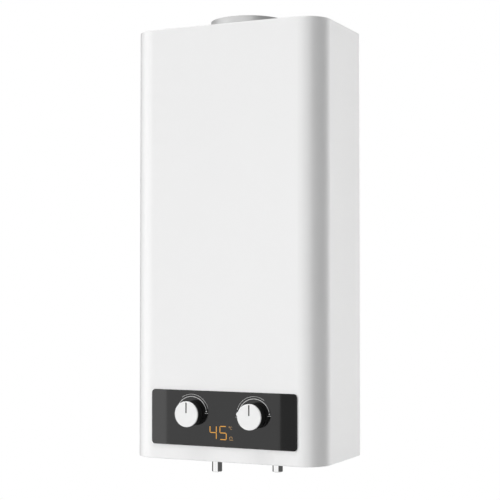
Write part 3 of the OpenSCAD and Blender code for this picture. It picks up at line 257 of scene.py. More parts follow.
# %% [markdown]
# ## Finishes
# Each finish is one Principled shader with patterns in the object's own coordinates, in metres.
# A noise scale of 900 therefore gives grains of about a millimetre, whatever the size of the piece.
# Small helpers make the nodes, so that each finish reads as a short recipe.

# %% Helpers for finishes
NOISE_LOW, NOISE_HIGH = 0.3, 0.7


class Finish:
    """A material with one Principled shader and patterns that follow the object's coordinates."""

    def __init__(self, name, roughness=0.4, metallic=0.0):
        self.material = bpy.data.materials.new(name)
        self.material.use_nodes = True
        self.tree = self.material.node_tree
        self.shader = self.tree.nodes["Principled BSDF"]
        self.shader.inputs["Roughness"].default_value = roughness
        self.shader.inputs["Metallic"].default_value = metallic
        self.place = self.node("ShaderNodeTexCoord").outputs["Object"]

    def node(self, kind):
        return self.tree.nodes.new(kind)

    def link(self, source, target):
        self.tree.links.new(source, target)

    def stretched(self, stretch):
        mapping = self.node("ShaderNodeMapping")
        mapping.inputs["Scale"].default_value = stretch
        self.link(self.place, mapping.inputs["Vector"])
        return mapping.outputs["Vector"]

    def noise(self, scale, detail=2.0, stretch=(1, 1, 1)):
        texture = self.node("ShaderNodeTexNoise")
        texture.inputs["Scale"].default_value = scale
        texture.inputs["Detail"].default_value = detail
        self.link(self.stretched(stretch), texture.inputs["Vector"])
        return texture.outputs["Fac"]

    def cells(self, scale, output="Color"):
        texture = self.node("ShaderNodeTexVoronoi")
        texture.inputs["Scale"].default_value = scale
        self.link(self.place, texture.inputs["Vector"])
        return texture.outputs[output]

    def ramp(self, pattern, stops, target="Base Color"):
        """Colours the target from a pattern, by a ramp of (place, colour) stops."""
        ramp = self.node("ShaderNodeValToRGB")
        while len(ramp.color_ramp.elements) < len(stops):
            ramp.color_ramp.elements.new(0.5)
        for element, (place, shade) in zip(ramp.color_ramp.elements, stops):
            element.position = place
            element.color = (*shade, 1) if isinstance(shade, tuple) else (shade, shade, shade, 1)
        self.link(pattern, ramp.inputs["Fac"])
        self.link(ramp.outputs["Color"], self.shader.inputs[target])

    def colour(self, pattern, low, high, target="Base Color"):
        """Spreads two colours over the middle of a noise, where most of it lies."""
        self.ramp(pattern, [(NOISE_LOW, low), (NOISE_HIGH, high)], target)

    def roughness(self, pattern, low, high):
        spread = self.node("ShaderNodeMapRange")
        spread.inputs["From Min"].default_value = NOISE_LOW
        spread.inputs["From Max"].default_value = NOISE_HIGH
        spread.inputs["To Min"].default_value = low
        spread.inputs["To Max"].default_value = high
        self.link(pattern, spread.inputs["Value"])
        self.link(spread.outputs["Result"], self.shader.inputs["Roughness"])

    def bump(self, pattern, strength, depth):
        bump = self.node("ShaderNodeBump")
        bump.inputs["Strength"].default_value = strength
        bump.inputs["Distance"].default_value = depth
        self.link(pattern, bump.inputs["Height"])
        self.link(bump.outputs["Normal"], self.shader.inputs["Normal"])


def tell(*finishes):
    print("finishes:", ", ".join(finish.material.name for finish in finishes))


print("finish helpers ready")

# %% [markdown]
# The cover's paint is baked-on white enamel: neutral, softly glossy, with the faint orange peel
# of a spray gun. A half-strength clear coat on top gives it the crisp dark line of a glossy edge,
# where the round corner turns away and mirrors the dark part of the room.

# %% White enamel
enamel = Finish("white_enamel")
enamel.colour(enamel.noise(5), 0.828, 0.836)
enamel.roughness(enamel.noise(4, 1), 0.28, 0.31)
enamel.bump(enamel.noise(700, 1), 0.012, 0.05 * MM)
enamel.shader.inputs["Coat Weight"].default_value = 0.5
enamel.shader.inputs["Coat Roughness"].default_value = 0.15
tell(enamel)

# %% [markdown]
# The control strip is smoked glass over black print: nearly black, mirror smooth, with a trace of smear.

# %% Smoked glass
smoked_glass = Finish("smoked_glass")
smoked_glass.shader.inputs["IOR"].default_value = 1.59
smoked_glass.colour(smoked_glass.noise(12), 0.002, 0.003)
smoked_glass.roughness(smoked_glass.noise(6, 1), 0.015, 0.03)
tell(smoked_glass)

# %% [markdown]
# The knobs are moulded plastic: a satin black skirt and a white face with a fine moulded grain.

# %% Knob plastics
knob_black = Finish("knob_black")
knob_black.colour(knob_black.noise(300, 3), 0.002, 0.004)
knob_black.roughness(knob_black.noise(500), 0.28, 0.4)
knob_black.bump(knob_black.noise(2500), 0.08, 0.05 * MM)

knob_white = Finish("knob_white")
knob_white.colour(knob_white.noise(60, 3), 0.82, 0.84)
knob_white.roughness(knob_white.noise(400), 0.3, 0.42)
knob_white.bump(knob_white.noise(2200), 0.05, 0.05 * MM)

pointer_grey = Finish("pointer_grey")
pointer_grey.colour(pointer_grey.noise(800), 0.02, 0.03)
pointer_grey.roughness(pointer_grey.noise(900), 0.45, 0.6)
tell(knob_black, knob_white, pointer_grey)

# %% [markdown]
# Metals differ by colour, by how they were made and by what they went through.
# Galvanised sheet shows zinc spangles, which are Voronoi cells. Rolled sheet and drawn tube show streaks,
# which are noise stretched along the rolling direction.

# %% Sheet metals
galvanised = Finish("galvanised", metallic=0.6)
galvanised.ramp(galvanised.cells(95), [(0.0, 0.46), (1.0, 0.62)])
galvanised.roughness(galvanised.noise(240, 3), 0.34, 0.5)
galvanised.bump(galvanised.noise(420, 3), 0.06, 0.1 * MM)

flue_sheet = Finish("flue_sheet", metallic=0.45)
flue_sheet.ramp(flue_sheet.noise(40, 4, (1, 1, 9)), [(0.25, 0.58), (0.75, 0.68)])
flue_sheet.roughness(flue_sheet.noise(90, 4, (1, 1, 12)), 0.32, 0.46)
flue_sheet.bump(flue_sheet.noise(300, 3, (1, 1, 8)), 0.05, 0.1 * MM)

stainless = Finish("stainless", metallic=1.0)
stainless.ramp(stainless.noise(50, 4, (1, 8, 1)),
               [(0.25, (0.45, 0.44, 0.42)), (0.75, (0.6, 0.59, 0.57))])
stainless.roughness(stainless.noise(160, 3, (1, 10, 1)), 0.28, 0.42)

zinc_steel = Finish("zinc_steel", metallic=1.0)
zinc_steel.colour(zinc_steel.noise(400, 3), (0.58, 0.58, 0.6), (0.7, 0.7, 0.72))
zinc_steel.roughness(zinc_steel.noise(900), 0.26, 0.4)
tell(galvanised, flue_sheet, stainless, zinc_steel)

# %% [markdown]
# Chrome is almost a mirror. Copper near a burner is stained by heat, brass is warmer and more even,
# and a die casting keeps the grain of its mould.

# %% Cast and drawn metals
chrome = Finish("chrome", metallic=1.0)
chrome.colour(chrome.noise(60), 0.9, 0.94)
chrome.roughness(chrome.noise(220, 3, (1, 1, 0.2)), 0.03, 0.07)

copper = Finish("copper", metallic=1.0)
copper.ramp(copper.noise(26, 5),
            [(0.3, (0.42, 0.19, 0.11)), (0.5, (0.66, 0.33, 0.2)), (0.75, (0.78, 0.42, 0.28))])
copper.roughness(copper.noise(70, 4), 0.24, 0.46)

brass = Finish("brass", metallic=1.0)
brass.colour(brass.noise(80, 4), (0.56, 0.39, 0.16), (0.72, 0.54, 0.26))
brass.roughness(brass.noise(160, 3), 0.24, 0.4)

die_cast = Finish("die_cast", metallic=1.0)
die_cast.colour(die_cast.noise(120, 4), 0.42, 0.54)
die_cast.roughness(die_cast.noise(300, 3), 0.45, 0.62)
die_cast.bump(die_cast.noise(1100, 3), 0.2, 0.15 * MM)
tell(chrome, copper, brass, die_cast)

# %% [markdown]
# The rest are mouldings, rubber, ceramic and the green circuit board, all behind the cover or under it.

# %% Plastics, rubber, ceramic and board
def moulding(name, low, high, rough_low=0.42, rough_high=0.55):
    """A moulded or pressed piece with a fine even grain."""
    finish = Finish(name)
    finish.colour(finish.noise(30, 1), low, high)
    finish.roughness(finish.noise(20, 1), rough_low, rough_high)
    finish.bump(finish.noise(2000), 0.03, 0.06 * MM)
    return finish


black_plastic = moulding("black_plastic", 0.014, 0.022)
grey_plastic = moulding("grey_plastic", 0.415, 0.435)
rubber = moulding("rubber", 0.016, 0.026, 0.6, 0.75)
ceramic = moulding("ceramic", (0.78, 0.75, 0.68), (0.84, 0.81, 0.75), 0.25, 0.35)
lead_silicone = moulding("lead_silicone", (0.30, 0.03, 0.025), (0.38, 0.045, 0.035))
cell_wrap = moulding("cell_wrap", (0.03, 0.045, 0.07), (0.045, 0.065, 0.1), 0.2, 0.3)

circuit_board = Finish("circuit_board")
circuit_board.ramp(circuit_board.cells(160, "Distance"),
                   [(0.1, (0.02, 0.16, 0.06)), (0.6, (0.01, 0.08, 0.03))])
circuit_board.roughness(circuit_board.noise(200), 0.3, 0.4)
tell(black_plastic, grey_plastic, rubber, ceramic, lead_silicone, cell_wrap, circuit_board)

# %% [markdown]
# ## Dress the solids
# Most solids already have the right shape and only need their finish.
# The list reads like a parts list.

# %% Give every solid its finish
parts_by_finish = [
    (enamel, "front_cover"),
    (galvanised, "back_plate flue_trim side_brackets valve_bracket"),
    (flue_sheet, "flue_collar draft_hood"),
    (copper, "chamber_shell exchanger_fins exchanger_tubes inlet_coil hot_pipe manifold_feed"),
    (stainless, "burner_frame burner_bars electrode_rods overheat_switch valve_rod"),
    (die_cast, "gas_manifold gas_valve_body"),
    (brass, "gas_jets water_valve_body water_valve_cover gas_spindle water_spindle"),
    (zinc_steel, "valve_screws cover_screws battery_contacts"),
    (chrome, "gas_tail cold_tail hot_tail"),
    (rubber, "pipe_grommets diaphragm"),
    (black_plastic, "gas_solenoid microswitch display_module battery_box panel_carrier outlet_sensor"),
    (grey_plastic, "drain_plug igniter_box battery_lid"),
    (lead_silicone, "ignition_lead"),
    (ceramic, "electrode_ceramics"),
    (circuit_board, "display_board"),
    (cell_wrap, "battery_cells"),
    (smoked_glass, "control_panel"),
    (knob_black, "gas_knob water_knob"),
    (knob_white, "gas_knob_face water_knob_face"),
    (pointer_grey, "gas_pointer water_pointer"),
]
dressed = set()
for finish, names in parts_by_finish:
    for name in names.split():
        nodes[name].data.materials.clear()
        nodes[name].data.materials.append(finish.material)
        dressed.add(name)
print(len(dressed), "solids dressed, left over:", sorted(set(nodes) - dressed))

# %% [markdown]
# ## Flat pieces from outlines
# The glass strip, its print and the lit digits are all flat shapes that stand on the front.
# A 2D curve with several outlines fills itself and leaves holes where outlines nest, and its extrusion
# and bevel give a plate with soft edges. The curve becomes a plain mesh before it takes its place.

# %% Make a plate on the front from outlines
STAND_UP = Matrix.Rotation(math.radians(90), 4, "X")
MERGE_DISTANCE = 0.0005 * MM
FACES_FRONT = 0.999


def arc_points(centre, radius, begin, end, steps):
    """Points of an arc in the front plane, in millimetres and degrees, anticlockwise from +X."""
    turns = [math.radians(begin + (end - begin) * k / steps) for k in range(steps + 1)]
    return [(centre[0] + radius * math.cos(t), centre[1] + radius * math.sin(t)) for t in turns]


def circle_points(centre, radius, steps=48):
    return arc_points(centre, radius, 0, 360, steps)[:-1]


def round_rect_points(centre, width, height, radius, steps=10):
    points = []
    for begin, sx, sz in [(0, 1, 1), (90, -1, 1), (180, -1, -1), (270, 1, -1)]:
        corner = (centre[0] + sx * (width / 2 - radius), centre[1] + sz * (height / 2 - radius))
        points += arc_points(corner, radius, begin, begin + 90, steps)
    return points


def front_plate(name, outlines, back_y, thickness, bevel=0.0):
    """A plate in front of back_y, with outlines as (x, z) points. All sizes are in millimetres."""
    drawing = bpy.data.curves.new(name, "CURVE")
    drawing.dimensions = "2D"
    drawing.fill_mode = "BOTH"
    drawing.extrude = thickness / 2 - bevel
    drawing.bevel_depth = bevel
    drawing.bevel_resolution = 2
    drawing.offset = -bevel
    for outline in outlines:
        line = drawing.splines.new("POLY")
        line.points.add(len(outline) - 1)
        line.use_cyclic_u = True
        for point, (x, z) in zip(line.points, outline):
            point.co = (x, z, 0, 1)
    drawn = mesh_object(name + "_drawing", drawing)
    graph = bpy.context.evaluated_depsgraph_get()
    mesh = bpy.data.meshes.new_from_object(drawn.evaluated_get(graph))
    bpy.data.objects.remove(drawn)
    mesh.transform(Matrix.Scale(MM, 4) @ Matrix.Translation((0, back_y - thickness / 2, 0)) @ STAND_UP)
    merge_and_smooth(mesh)
    for face in mesh.polygons:
        face.use_smooth = abs(face.normal.y) < FACES_FRONT
    mesh.name = name
    return mesh_object(name, mesh)


def merge_and_smooth(mesh, angle=15):
    """Joins doubled points, turns all faces outwards and smooths what meets below the angle."""
    bm = bmesh.new()
    bm.from_mesh(mesh)
    bmesh.ops.remove_doubles(bm, verts=bm.verts, dist=MERGE_DISTANCE)
    bmesh.ops.recalc_face_normals(bm, faces=bm.faces)
    bm.to_mesh(mesh)
    bm.free()
    mesh.shade_smooth()
    mesh.set_sharp_from_angle(angle=math.radians(angle))


print("outline helpers ready")

# %% [markdown]
# ## The glass strip
# The glass lies on the cover over a smaller window. Its edge is ground to a fine polished bevel,
# which catches a thin line of light, and two holes let the spindles through.

# %% Make the glass strip
glass_size = (glass_high - glass_low) / MM
glass_mid = ((glass_low + glass_high) / 2) / MM
GLASS_CORNER = 5
GLASS_BEVEL = 0.35
SPINDLE_HOLE = 6
knob_centres = {}
for name in ("gas_knob", "water_knob"):
    knob_low, knob_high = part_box(name)
    knob_centres[name] = ((knob_low.x + knob_high.x) / 2 / MM, (knob_low.z + knob_high.z) / 2 / MM)

glass_outline = round_rect_points((glass_mid.x, glass_mid.z), glass_size.x, glass_size.z, GLASS_CORNER)
holes = [circle_points(centre, SPINDLE_HOLE) for centre in knob_centres.values()]
glass = front_plate("glass_strip", [glass_outline] + holes, glass_high.y / MM, glass_size.y, GLASS_BEVEL)
glass.data.materials.append(smoked_glass.material)
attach(glass, "casing")
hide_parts("control_panel")
print("glass strip", [round(v, 1) for v in glass_size], "mm with", len(glass.data.polygons), "faces")

# %% [markdown]
# ## Printed scales
# Around each knob a bold arc and a fine arc show which way is more. They are printed in pale grey.
# An arc is a path with a flat profile, so a small Geometry Nodes tree sweeps it: radius, angles, width and
# thickness are its inputs, and the same tree draws all the arcs.

# %% Build the tree that draws an arc
ARC_INPUTS = ["Radius", "Start", "Sweep", "Width", "Thickness"]
ARC_STEPS = 72


def new_tree(name, sockets):
    """An empty geometry tree with named number inputs and a geometry output."""
    tree = bpy.data.node_groups.new(name, "GeometryNodeTree")
    tree.interface.new_socket("Geometry", in_out="INPUT", socket_type="NodeSocketGeometry")
    for socket in sockets:
        tree.interface.new_socket(socket, in_out="INPUT", socket_type="NodeSocketFloat")
    tree.interface.new_socket("Geometry", in_out="OUTPUT", socket_type="NodeSocketGeometry")
    return tree, tree.nodes.new("NodeGroupInput"), tree.nodes.new("NodeGroupOutput")


def wire(tree, source, output, target, socket):
    tree.links.new(source.outputs[output], target.inputs[socket])


def finish_tree(tree, source, paint, output):
    """Every tree ends by realizing its instances and setting the paint."""
    realize = tree.nodes.new("GeometryNodeRealizeInstances")
    coat = tree.nodes.new("GeometryNodeSetMaterial")
    coat.inputs["Material"].default_value = paint.material
    tree.links.new(source, realize.inputs["Geometry"])
    wire(tree, realize, "Geometry", coat, "Geometry")
    wire(tree, coat, "Geometry", output, "Geometry")


def copies(tree, copy_object, points, rotation=None):
    """Sets a copy of the object on every point."""
    source = tree.nodes.new("GeometryNodeObjectInfo")
    source.inputs["Object"].default_value = copy_object
    place = tree.nodes.new("GeometryNodeInstanceOnPoints")
    tree.links.new(points, place.inputs["Points"])
    wire(tree, source, "Geometry", place, "Instance")
    if rotation:
        tree.links.new(rotation, place.inputs["Rotation"])
    return place.outputs["Instances"]


def arc_tree(paint):
    tree, given, made = new_tree("printed_arc", ARC_INPUTS)
    arc = tree.nodes.new("GeometryNodeCurveArc")
    arc.inputs["Resolution"].default_value = ARC_STEPS
    profile = tree.nodes.new("GeometryNodeCurvePrimitiveQuadrilateral")
    sweep = tree.nodes.new("GeometryNodeCurveToMesh")
    sweep.inputs["Fill Caps"].default_value = True
    for socket, name in [("Radius", "Radius"), ("Start Angle", "Start"), ("Sweep Angle", "Sweep")]:
        wire(tree, given, name, arc, socket)
    wire(tree, given, "Width", profile, "Width")
    wire(tree, given, "Thickness", profile, "Height")
    wire(tree, arc, "Curve", sweep, "Curve")
    wire(tree, profile, "Curve", sweep, "Profile Curve")
    finish_tree(tree, sweep.outputs["Mesh"], paint, made)
    return tree


def grown(name, tree, sizes, start_mesh=None):
    """Runs a tree, on a start mesh if it needs one, and returns its result as a plain mesh."""
    seed = mesh_object(name + "_seed", start_mesh or bpy.data.meshes.new(name))
    modifier = seed.modifiers.new("grow", "NODES")
    modifier.node_group = tree
    inputs = [item for item in tree.interface.items_tree if item.in_out == "INPUT"]
    identifiers = {item.name: item.identifier for item in inputs}
    for size, value in sizes.items():
        modifier[identifiers[size]] = value
    graph = bpy.context.evaluated_depsgraph_get()
    mesh = bpy.data.meshes.new_from_object(seed.evaluated_get(graph))
    seed.modifiers.clear()
    bpy.data.objects.remove(seed)
    return mesh


def ink(name, low, high):
    """A grainy print ink between two tones."""
    finish = Finish(name)
    finish.colour(finish.noise(900), low, high)
    finish.roughness(finish.noise(1200), 0.4, 0.55)
    return finish


print_arc = arc_tree(ink("scale_print", 0.58, 0.68))
print("arc tree with inputs", ARC_INPUTS)

# %% [markdown]
# Angles count anticlockwise from three o'clock. The bold arc spans the knob's whole turn.
# The fine arc covers only the part where the knob makes more heat or more flow.
# An arc is written as its radius, where it starts, how far it sweeps, and its width.

# %% Draw the scales
PRINT_THICK = 0.08
print_y = glass_low.y / MM
BOLD_ARC = (23.4, 15, 150, 0.85)
FINE_ARCS = {"gas_knob": (26.6, 16, 108, 0.4), "water_knob": (26.6, 56, 108, 0.4)}


def join_meshes(name, meshes):
    """One object from several meshes that share a finish."""
    bm = bmesh.new()
    for mesh in meshes:
        bm.from_mesh(mesh)
    paint = meshes[0].materials[0]
    joined = take_bmesh(name, bm)
    joined.data.materials.append(paint)
    merge_and_smooth(joined.data)
    return joined


arcs = []
for knob, (x, z) in knob_centres.items():
    for radius, start, sweep, width in (BOLD_ARC, FINE_ARCS[knob]):
        sizes = {"Radius": radius, "Start": math.radians(start), "Sweep": math.radians(sweep),
                 "Width": width, "Thickness": PRINT_THICK}
        arc = grown("arc", print_arc, sizes)
        on_glass = Matrix.Translation((x, print_y - PRINT_THICK / 2, z))
        arc.transform(Matrix.Scale(MM, 4) @ on_glass @ STAND_UP)
        arcs.append(arc)
scales = join_meshes("printed_scales", arcs)
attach(scales, "casing")
print(len(arcs), "arcs,", len(scales.data.polygons), "faces")

# %% [markdown]
# Small marks stand at the ends of the scales: a dot over a bar for less, and a filled drop for the most.

# %% Draw the end marks
MARK_OUT = 23.0
DOT_RADIUS, DOT_UP, DOT_STEPS = 1.0, 3.5, 20
BAR_WIDTH, BAR_HEIGHT, BAR_UP = 5.0, 0.5, 0.7
DROP_RADIUS, DROP_OUT, DROP_UP = 2.0, 25.2, 1.2
DROP_BAR_UP = -2.4
DROP_BELLY, DROP_STEPS, DROP_TIP = (140, 400), 28, 1.9


def bar_points(x, z, width, height):
    return [(x - width / 2, z - height / 2), (x + width / 2, z - height / 2),
            (x + width / 2, z + height / 2), (x - width / 2, z + height / 2)]


def drop_points(x, z, radius):
    """A drop: a round belly that runs up to a point."""
    return arc_points((x, z), radius, *DROP_BELLY, DROP_STEPS) + [(x, z + DROP_TIP * radius)]


marks = []
for knob, (x, z) in knob_centres.items():
    for side in (-1, 1):
        if knob == "water_knob" and side < 0:
            marks.append(drop_points(x - DROP_OUT, z + DROP_UP, DROP_RADIUS))
            marks.append(bar_points(x - DROP_OUT, z + DROP_BAR_UP, BAR_WIDTH, BAR_HEIGHT))
        else:
            marks.append(circle_points((x + side * MARK_OUT, z + DOT_UP), DOT_RADIUS, DOT_STEPS))
            marks.append(bar_points(x + side * MARK_OUT, z + BAR_UP, BAR_WIDTH, BAR_HEIGHT))
end_marks = front_plate("end_marks", marks, print_y, PRINT_THICK)
end_marks.data.materials.append(ink("bright_print", 0.84, 0.9).material)
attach(end_marks, "casing")
print(len(marks), "marks")

# %% [markdown]
# ## The lit temperature
# The display shines through the glass: two amber digits of seven segments each, a degree sign
# and a small symbol. A segment is a bar with pointed ends. A string of letters says which of the seven
# a digit lights.

# %% Draw the digits
DIGIT_WIDTH, DIGIT_HEIGHT = 10.8, 19.2
STROKE, SEGMENT_GAP = 1.12, 0.25
DIGIT_TOP = -254.8
SEGMENTS = {"4": "bcfg", "5": "acdfg"}
DIGIT_PLACES = {"4": -19.8, "5": -4.5}


def light(name, strength, surface, glow):
    """A lit finish. Its surface and its glow each vary between two colours."""
    finish = Finish(name, roughness=0.5)
    finish.shader.inputs["Emission Strength"].default_value = strength
    finish.colour(finish.noise(700), *surface)
    finish.colour(finish.noise(260), *glow, "Emission Color")
    return finish


def segment_points(begin, end):
    """A bar with pointed ends between two points, shortened so that neighbours don't touch."""
    begin, end = Vector(begin), Vector(end)
    along = (end - begin).normalized()
    across = Vector((-along.y, along.x)) * STROKE / 2
    begin, end = begin + along * SEGMENT_GAP, end - along * SEGMENT_GAP
    tip = along * STROKE / 2
    return [tuple(p) for p in (begin, begin + tip - across, end - tip - across, end, end - tip + across,
                               begin + tip + across)]


def digit_outlines(digit):
    left = DIGIT_PLACES[digit] + STROKE / 2
    right = left + DIGIT_WIDTH - STROKE
    top, bottom = DIGIT_TOP - STROKE / 2, DIGIT_TOP - DIGIT_HEIGHT + STROKE / 2
    middle = (top + bottom) / 2
    ends = {"a": ((left, top), (right, top)), "b": ((right, top), (right, middle)),
            "c": ((right, middle), (right, bottom)), "d": ((left, bottom), (right, bottom)),
            "e": ((left, middle), (left, bottom)), "f": ((left, top), (left, middle)),
            "g": ((left, middle), (right, middle))}
    return [segment_points(*ends[letter]) for letter in SEGMENTS[digit]]


amber = light("amber_light", 1.0, surface=[(0.1, 0.05, 0.01), (0.14, 0.07, 0.015)],
              glow=[(0.66, 0.31, 0.045), (0.74, 0.35, 0.06)])
digits = front_plate("lit_digits", digit_outlines("4") + digit_outlines("5"), print_y, PRINT_THICK)
digits.data.materials.append(amber.material)
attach(digits, "casing")
print(len(SEGMENTS["4"] + SEGMENTS["5"]), "lit segments")

# %% [markdown]
# The signs beside the digits are dimmer and finer. They are bent and straight bars, each an outline.

# %% Draw the degree sign and the small symbol
dim_amber = light("dim_amber_light", 0.55, surface=[(0.1, 0.05, 0.02), (0.14, 0.07, 0.03)],
                  glow=[(0.62, 0.38, 0.14), (0.72, 0.44, 0.18)])


def arc_band(centre, radius, width, begin, end, steps=24):
    """The outline of a bent bar."""
    outer = arc_points(centre, radius + width / 2, begin, end, steps)
    return outer + arc_points(centre, radius - width / 2, end, begin, steps)


SIGN_STROKE = 0.42
SYMBOL_STROKE = 0.6
degree_ring = arc_band((10.4, -255.9), 0.8, SIGN_STROKE, 0, 355)
celsius_bow = arc_band((13.6, -257.1), 1.8, SIGN_STROKE, 55, 305)
symbol_dome = arc_band((12.9, -271.2), 2.0, SYMBOL_STROKE, -45, 225)
symbol_foot = bar_points(13.5, -273.7, 5.2, SYMBOL_STROKE)
signs = [degree_ring, celsius_bow, symbol_dome, symbol_foot]
small_signs = front_plate("lit_signs", signs, print_y, PRINT_THICK)
small_signs.data.materials.append(dim_amber.material)
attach(small_signs, "casing")
print(len(signs), "small strokes")

# %% [markdown]
# ## Cover screws
# Four pan-head screws hold the cover, two on top and two below. One screw is turned on a lathe in code and
# gets a cross recess. Geometry Nodes then sets a copy on each seat.

# %% Turn one screw head
HEAD_RADIUS, HEAD_HEIGHT = 3.5, 2.4
HEAD_EDGE = 0.35
SHANK_RADIUS, SHANK_LENGTH = 1.8, 6.0
TIP_RADIUS, TIP_LENGTH = 1.08, 1
RECESS_ACROSS, RECESS_WIDTH, RECESS_DEPTH = 4.0, 0.8, 2.4


def lathe(name, profile, steps=48):
    """Spins a profile of (radius, height) points, in millimetres, around Z to a closed object."""
    bm = bmesh.new()
    ring = [bm.verts.new((radius * MM, 0, height * MM)) for radius, height in profile]
    edges = [bm.edges.new(pair) for pair in zip(ring, ring[1:])]
    bmesh.ops.spin(bm, geom=ring + edges, cent=(0, 0, 0), axis=(0, 0, 1), angle=math.tau, steps=steps)
    turned = take_bmesh(name, bm)
    merge_and_smooth(turned.data)
    return turned


shank = [(0, -SHANK_LENGTH), (TIP_RADIUS, -SHANK_LENGTH), (SHANK_RADIUS, TIP_LENGTH - SHANK_LENGTH),
         (SHANK_RADIUS, 0), (HEAD_RADIUS, 0)]
dome = []
for step in range(0, 91, 10):
    rise = HEAD_EDGE + (1 - HEAD_EDGE) * math.sin(math.radians(step))
    dome.append((HEAD_RADIUS * math.cos(math.radians(step)), HEAD_HEIGHT * rise))
head = lathe("screw_head", shank + dome)
wing = Matrix.Diagonal((RECESS_ACROSS * MM, RECESS_WIDTH * MM, RECESS_DEPTH * MM, 1))
bm = bmesh.new()
for turn in (0, 90):
    turned_wing = Matrix.Rotation(math.radians(turn), 4, "Z") @ wing
    bmesh.ops.create_cube(bm, size=1, matrix=Matrix.Translation((0, 0, HEAD_HEIGHT * MM)) @ turned_wing)
recess = take_bmesh("cross_recess", bm)
cut = head.modifiers.new("recess", "BOOLEAN")
cut.operation = "DIFFERENCE"
cut.use_self = True
cut.object = recess
print("one screw head, recess", RECESS_ACROSS, "mm across")

# %% [markdown]
# A seat is a point with an attribute that says which way is out. The tree aims each screw along it and
# turns it by a seeded random angle, because no two screws stop at the same turn.
# Random Value repeats its sockets for each kind of number, so the two that it uses are counted out.

# %% Set a screw on each seat
RANDOM_MAX, RANDOM_NUMBER = 3, 1
TURN_SEED = 7


def screw_tree(screw, paint):
    tree, given, made = new_tree("screws_on_seats", ["Turn"])
    outward = tree.nodes.new("GeometryNodeInputNamedAttribute")
    outward.data_type = "FLOAT_VECTOR"
    outward.inputs["Name"].default_value = "outward"
    aim = tree.nodes.new("FunctionNodeAlignRotationToVector")
    spin = tree.nodes.new("FunctionNodeRotateRotation")
    spin.rotation_space = "LOCAL"
    angle = tree.nodes.new("ShaderNodeCombineXYZ")
    spread = tree.nodes.new("FunctionNodeRandomValue")
    spread.inputs["Seed"].default_value = TURN_SEED
    wire(tree, given, "Turn", spread, RANDOM_MAX)
    wire(tree, spread, RANDOM_NUMBER, angle, "Z")
    wire(tree, outward, "Attribute", aim, "Vector")
    wire(tree, aim, "Rotation", spin, "Rotation")
    wire(tree, angle, "Vector", spin, "Rotate By")
    screws = copies(tree, screw, given.outputs["Geometry"], spin.outputs["Rotation"])
    finish_tree(tree, screws, paint, made)
    return tree


TOP_SCREW_X, BOTTOM_SCREW_X, SCREW_Y = 0.112, 0.070, -0.008
cover_low, cover_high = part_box("front_cover")
seats = [(side * TOP_SCREW_X, SCREW_Y, cover_high.z) for side in (-1, 1)]
seats += [(side * BOTTOM_SCREW_X, SCREW_Y, cover_low.z) for side in (-1, 1)]
seat_mesh = bpy.data.meshes.new("screw_seats")
seat_mesh.from_pydata(seats, [], [])
outward = seat_mesh.attributes.new("outward", "FLOAT_VECTOR", "POINT")
for seat, row in zip(seats, outward.data):
    row.vector = (0, 0, 1 if seat[2] > 0 else -1)
screw_mesh = grown("screws", screw_tree(head, zinc_steel), {"Turn": math.pi}, seat_mesh)
bpy.data.objects.remove(head)
bpy.data.objects.remove(recess)
merge_and_smooth(screw_mesh)
screws = mesh_object("cover_screw_set", screw_mesh)
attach(screws, "casing")
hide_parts("cover_screws")
print(len(seats), "screws,", len(screw_mesh.polygons), "faces")

# %% [markdown]
# ## Grip ribs
# A finger opens the battery door by a row of low ribs, and turns the drain plug by its ridged rim.
# Each grip is one half-round rib that a small tree copies, along a line or around a circle.
# The door and the plug move, so their ribs ride on them.

# %% Shape one rib
def half_round_rib(name, length, width, height):
    """A low bar with round ends along X that rises along +Z, in millimetres."""
    bm = bmesh.new()
    ends = [math.radians(t) for t in (0, 30, 60, 90)]
    stations = [(-length / 2 + width / 2 * (1 - math.cos(t)), math.sin(t)) for t in ends]
    stations += [(-x, swell) for x, swell in reversed(stations)]
    rings = []
    for x, swell in stations:
        ring = []
        for turn in range(0, 181, 30):
            y = swell * width / 2 * math.cos(math.radians(turn))
            z = swell * height * math.sin(math.radians(turn))
            ring.append(bm.verts.new((x * MM, y * MM, z * MM)))
        rings.append(ring)
    for ring, following in zip(rings, rings[1:]):
        for k in range(len(ring)):
            bm.faces.new((ring[k], following[k], following[k - 1], ring[k - 1]))
    rib = take_bmesh(name, bm)
    merge_and_smooth(rib.data, 40)
    return rib


print("rib shape ready")

# %% [markdown]
# A row takes equal steps along a line. A ring aims each copy away from the centre and stands it upright.

# %% Build the trees for a row and a ring
def row_tree(rib, paint):
    """Ribs one behind the other along Y."""
    tree, given, made = new_tree("ribs_in_a_row", ["Count", "Pitch"])
    step = tree.nodes.new("ShaderNodeCombineXYZ")
    line = tree.nodes.new("GeometryNodeMeshLine")
    wire(tree, given, "Pitch", step, "Y")
    wire(tree, given, "Count", line, "Count")
    wire(tree, step, "Vector", line, "Offset")
    finish_tree(tree, copies(tree, rib, line.outputs["Mesh"]), paint, made)
    return tree


def ring_tree(rib, paint):
    """Upright ribs around a circle, each with its back to the centre."""
    tree, given, made = new_tree("ribs_in_a_ring", ["Count", "Radius"])
    circle = tree.nodes.new("GeometryNodeMeshCircle")
    outwards = tree.nodes.new("FunctionNodeAlignRotationToVector")
    upright = tree.nodes.new("FunctionNodeAlignRotationToVector")
    upright.axis = "X"
    upright.pivot_axis = "Z"
    upright.inputs["Vector"].default_value = (0, 0, 1)
    wire(tree, given, "Count", circle, "Vertices")
    wire(tree, given, "Radius", circle, "Radius")
    position = tree.nodes.new("GeometryNodeInputPosition").outputs["Position"]
    tree.links.new(position, outwards.inputs["Vector"])
    wire(tree, outwards, "Rotation", upright, "Rotation")
    ribs = copies(tree, rib, circle.outputs["Mesh"], upright.outputs["Rotation"])
    finish_tree(tree, ribs, paint, made)
    return tree


print("row and ring trees ready")

# %% [markdown]
# The door closes the casing from below, so its row of ribs is turned to face down.

